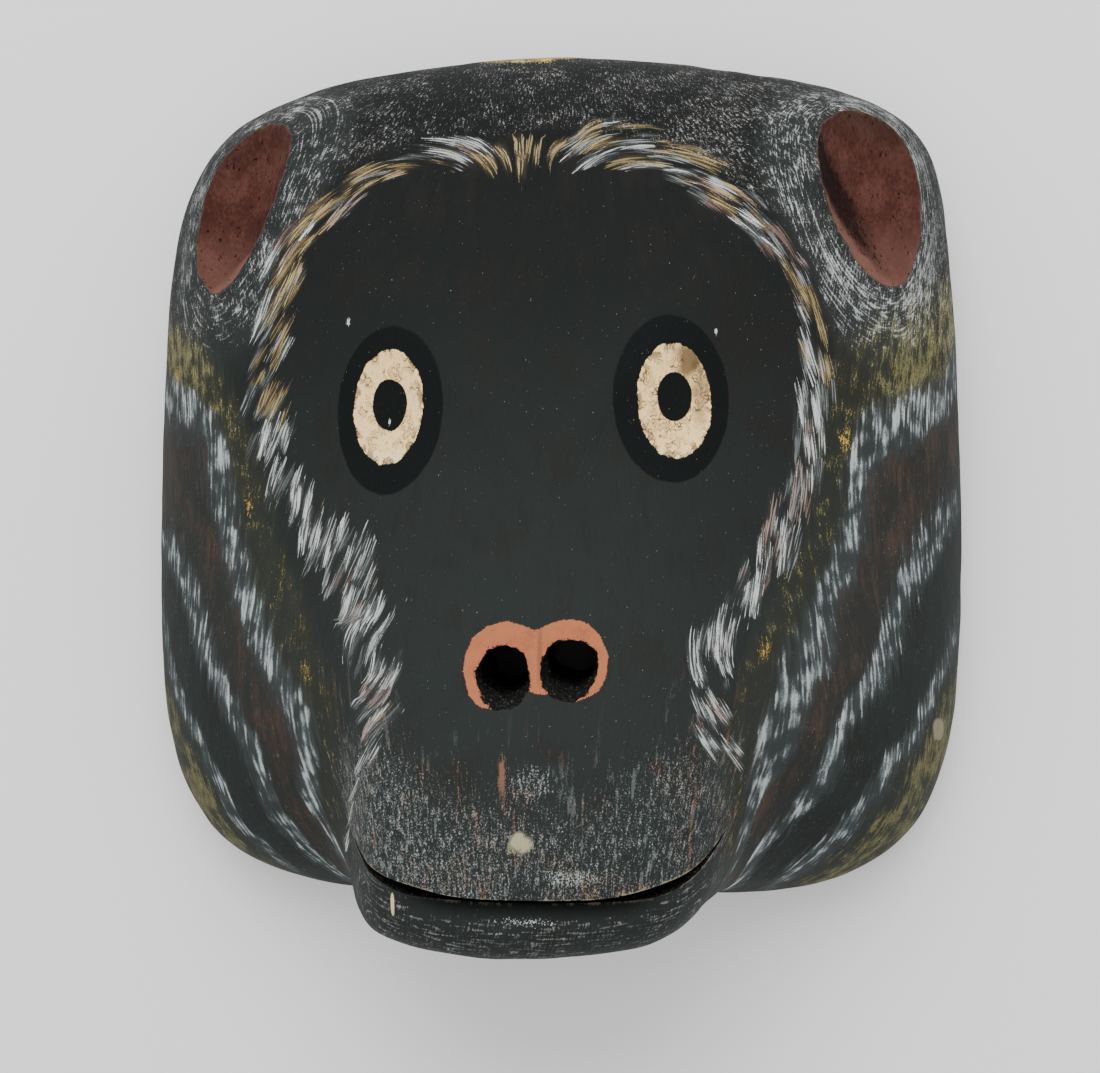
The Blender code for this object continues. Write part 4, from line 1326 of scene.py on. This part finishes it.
def ear_finish():
    """Make the dusty red of the ear hollows, with painted shade on the inner walls and the top, painted
    light on the lower part and the sill, painted glints, and dark cracks, most along the inner wall.
    """
    finish = Finish("ear_red")
    place = finish.place()
    outer, up, right_ear = finish.stored("ear_place")
    rim = finish.stored("paint_shade")[1]
    fine = finish.solid_noise(place, (1.5, 0.9, 1.5), 3.0, 0.65)
    blotch = finish.solid_noise(place, (0.20, 0.14, 0.20))
    pits = finish.solid_noise(place, (1.1, 0.42, 1.1), 2.0, 0.7)
    ragged = fine.sway(0.4) + blotch.sway(0.4)
    slope = outer * 0.67 + up * 0.74 + ragged * 0.3
    # Painted shade on the inner walls, strong in the right ear and faint in the left
    shaded_low_wall = slope.ridge(-0.34, 0.42) * outer.fall(-0.25, 0.30)
    shaded_high_wall = (outer + ragged * 0.3).fall(-0.9, -0.15) * up.step(-0.2, 0.3)
    wall = (shaded_low_wall + shaded_high_wall * 0.8) * (0.20 + 0.80 * right_ear)
    # Painted shade towards the top and the outer side of the hollow
    top = (up + outer * 0.35 + ragged * 0.5).step(0.45, 1.15)
    crack = (pits + wall * 0.20 + fine.sway(0.2)).step(0.65, 0.73)

    coat = Coat(finish, EAR_RED)
    coat.lay((blotch * 0.5 + fine * 0.5).step(0.40, 0.66), EAR_DUST)
    # Painted light on the lower part of the hollow, and on the sill of its lower inner rim
    coat.lay((up + ragged * 0.4).fall(-0.9, -0.2) * 0.35, EAR_PAINTED_LIGHT)
    coat.lay(slope.fall(-0.78, -0.56) * 0.75, EAR_PAINTED_LIGHT)
    # Painted shade at the top, stronger in the right ear, and on the inner walls
    coat.lay(top * (0.25 + 0.45 * right_ear), EAR_TOP_SHADE)
    coat.lay(wall * 0.80, EAR_SHADE_AND_CRACKS)
    glow = finish.outside((outer, up), LEFT_EAR_GLOW) + ragged * 1.5
    coat.lay(glow.fall(-0.4, 0.4) * (1.0 - right_ear) * 0.75, EAR_ORANGE)
    coat.lay(crack * 0.85, EAR_SHADE_AND_CRACKS)
    # Painted glints on the rough paint, away from the shaded walls
    coat.lay(fine.step(0.66, 0.76) * (1.0 - wall) * 0.20, EAR_PAINTED_LIGHT)
    coat.lay((rim + ragged).step(0.1, 1.0) * 0.8, EAR_EDGE)
    return finish.paint(coat.color, 0.75, fine * 0.6 - crack, EAR_RELIEF)


def cut_finish():
    """Make the black of the nostrils and the mouth's slit, with a few pale flecks."""
    finish = Finish("dark_cut")
    fine = finish.solid_noise(finish.place(), (1.8, 1.8, 0.8), 3.0, 0.7)
    coat = Coat(finish, CUT_BLACK)
    coat.lay(fine.step(0.3, 0.7), CUT_GREY)
    coat.lay(fine.step(0.60, 0.70) * 0.6, STROKE_GREY)
    return finish.paint(coat.color, 0.8, fine, CUT_RELIEF)


def wood_finish():
    """Make bare wood with its grain along the mask's height."""
    finish = Finish("bare_wood")
    grain = finish.solid_noise(finish.place(), (0.9, 0.05, 0.9), 4.0, 0.6)
    coat = Coat(finish, BARE_WOOD)
    coat.lay(grain.step(0.35, 0.7), WOOD_GRAIN)
    return finish.paint(coat.color, 0.75, grain, WOOD_RELIEF)


def plain_finish(name, color, roughness):
    """Make a plain material for the stage."""
    finish = Finish(name)
    finish.fill(finish.shader.inputs["Base Color"], color)
    finish.fill(finish.shader.inputs["Roughness"], roughness)
    return finish.material


def carve_mask():
    """Model the mask and give it its finishes."""
    paint = face_finish()
    ear_paint = ear_finish()
    bare_wood = wood_finish()
    dark_cut = cut_finish()
    mask = laid_grid("mask_carving", FACE_COLUMNS, FACE_ROWS, lambda u, v: np.stack([u, v, 0 * u], axis=-1))
    grid_places = read_points(mask.data)[:, :2]
    grid_points = worked_face(grid_places[:, 0], grid_places[:, 1])
    write_points(mask.data, grid_points)
    mask.data.materials.append(paint)
    close_block(mask, 0.0)
    hollow = laid_grid("hollow_cutter", HOLLOW_CELLS, HOLLOW_CELLS, worked_hollow)
    close_block(hollow, CUT_OVERRUN)
    cut_away(mask, hollow, bare_wood)
    for side, pull in EAR_PULLS.items():
        cut_away(mask, gouge(f"{side}_ear_cutter", EARS[side], EAR_DEPTH, EAR_ROUGHNESS, pull), ear_paint)
        cut_away(mask, gouge(f"{side}_eye_cutter", EYES[side], EYE_DEPTH, EYE_ROUGHNESS, 0.0), paint)
    for side, seed in NOSTRIL_SEEDS.items():
        cut_away(mask, bore_nostril(f"{side}_nostril_cutter", NOSTRIL_PLACES[side], seed), dark_cut)
    cut_away(mask, cut_mouth("mouth_cutter"), dark_cut)
    mask.data.shade_smooth()
    mask.data.set_sharp_from_angle(angle=SHARP_ANGLE)
    mark_paint(mask.data, grid_points, grid_places)
    return mask


def add_window(place, power, size):
    """Add a soft square light that points at the middle of the rim plane."""
    lamp = bpy.data.lights.new("window", "AREA")
    lamp.energy = power
    lamp.size = size
    light = bpy.data.objects.new("window", lamp)
    light.location = place
    light.rotation_euler = (-Vector(place)).to_track_quat("-Z", "Y").to_euler()
    bpy.context.scene.collection.objects.link(light)


def add_camera():
    """Add the camera and point it at its aim."""
    lens = bpy.data.cameras.new("camera")
    lens.lens = CAMERA_LENS
    lens.sensor_width = CAMERA_SENSOR
    camera = bpy.data.objects.new("camera", lens)
    bpy.context.scene.collection.objects.link(camera)
    turn = (Matrix.Rotation(CAMERA_ROLL, 3, "Z") @ Matrix.Rotation(CAMERA_YAW, 3, "Y")
            @ Matrix.Rotation(CAMERA_PITCH, 3, "X")).transposed()
    back = turn @ Vector((0.0, 0.0, CAMERA_DISTANCE))
    camera.matrix_world = Matrix.Translation(Vector(CAMERA_AIM) + back) @ turn.to_4x4()
    bpy.context.scene.camera = camera


def set_stage():
    """Lay the floor and set the lights and the camera."""
    floor = add_shape("floor", bpy.ops.mesh.primitive_plane_add, size=FLOOR_SIZE)
    floor.data.materials.append(plain_finish("pale_floor", PALE_FLOOR, FLOOR_ROUGHNESS))
    add_window(WINDOW_PLACE, WINDOW_POWER, WINDOW_SIZE)
    world = bpy.data.worlds.new("soft_room")
    bpy.context.scene.world = world
    world.use_nodes = True
    background = world.node_tree.nodes["Background"]
    background.inputs["Color"].default_value = (*ROOM_WHITE, 1.0)
    background.inputs["Strength"].default_value = ROOM_LIGHT
    add_camera()


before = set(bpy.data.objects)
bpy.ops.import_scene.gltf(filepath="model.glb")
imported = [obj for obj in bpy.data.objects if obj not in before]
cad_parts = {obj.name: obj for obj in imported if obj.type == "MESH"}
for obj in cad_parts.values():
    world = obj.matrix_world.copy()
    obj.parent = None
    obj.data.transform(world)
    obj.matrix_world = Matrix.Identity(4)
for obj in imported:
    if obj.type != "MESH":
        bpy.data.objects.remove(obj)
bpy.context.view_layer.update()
mask = carve_mask()
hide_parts("mask_body")
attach(mask, "root")
set_stage()
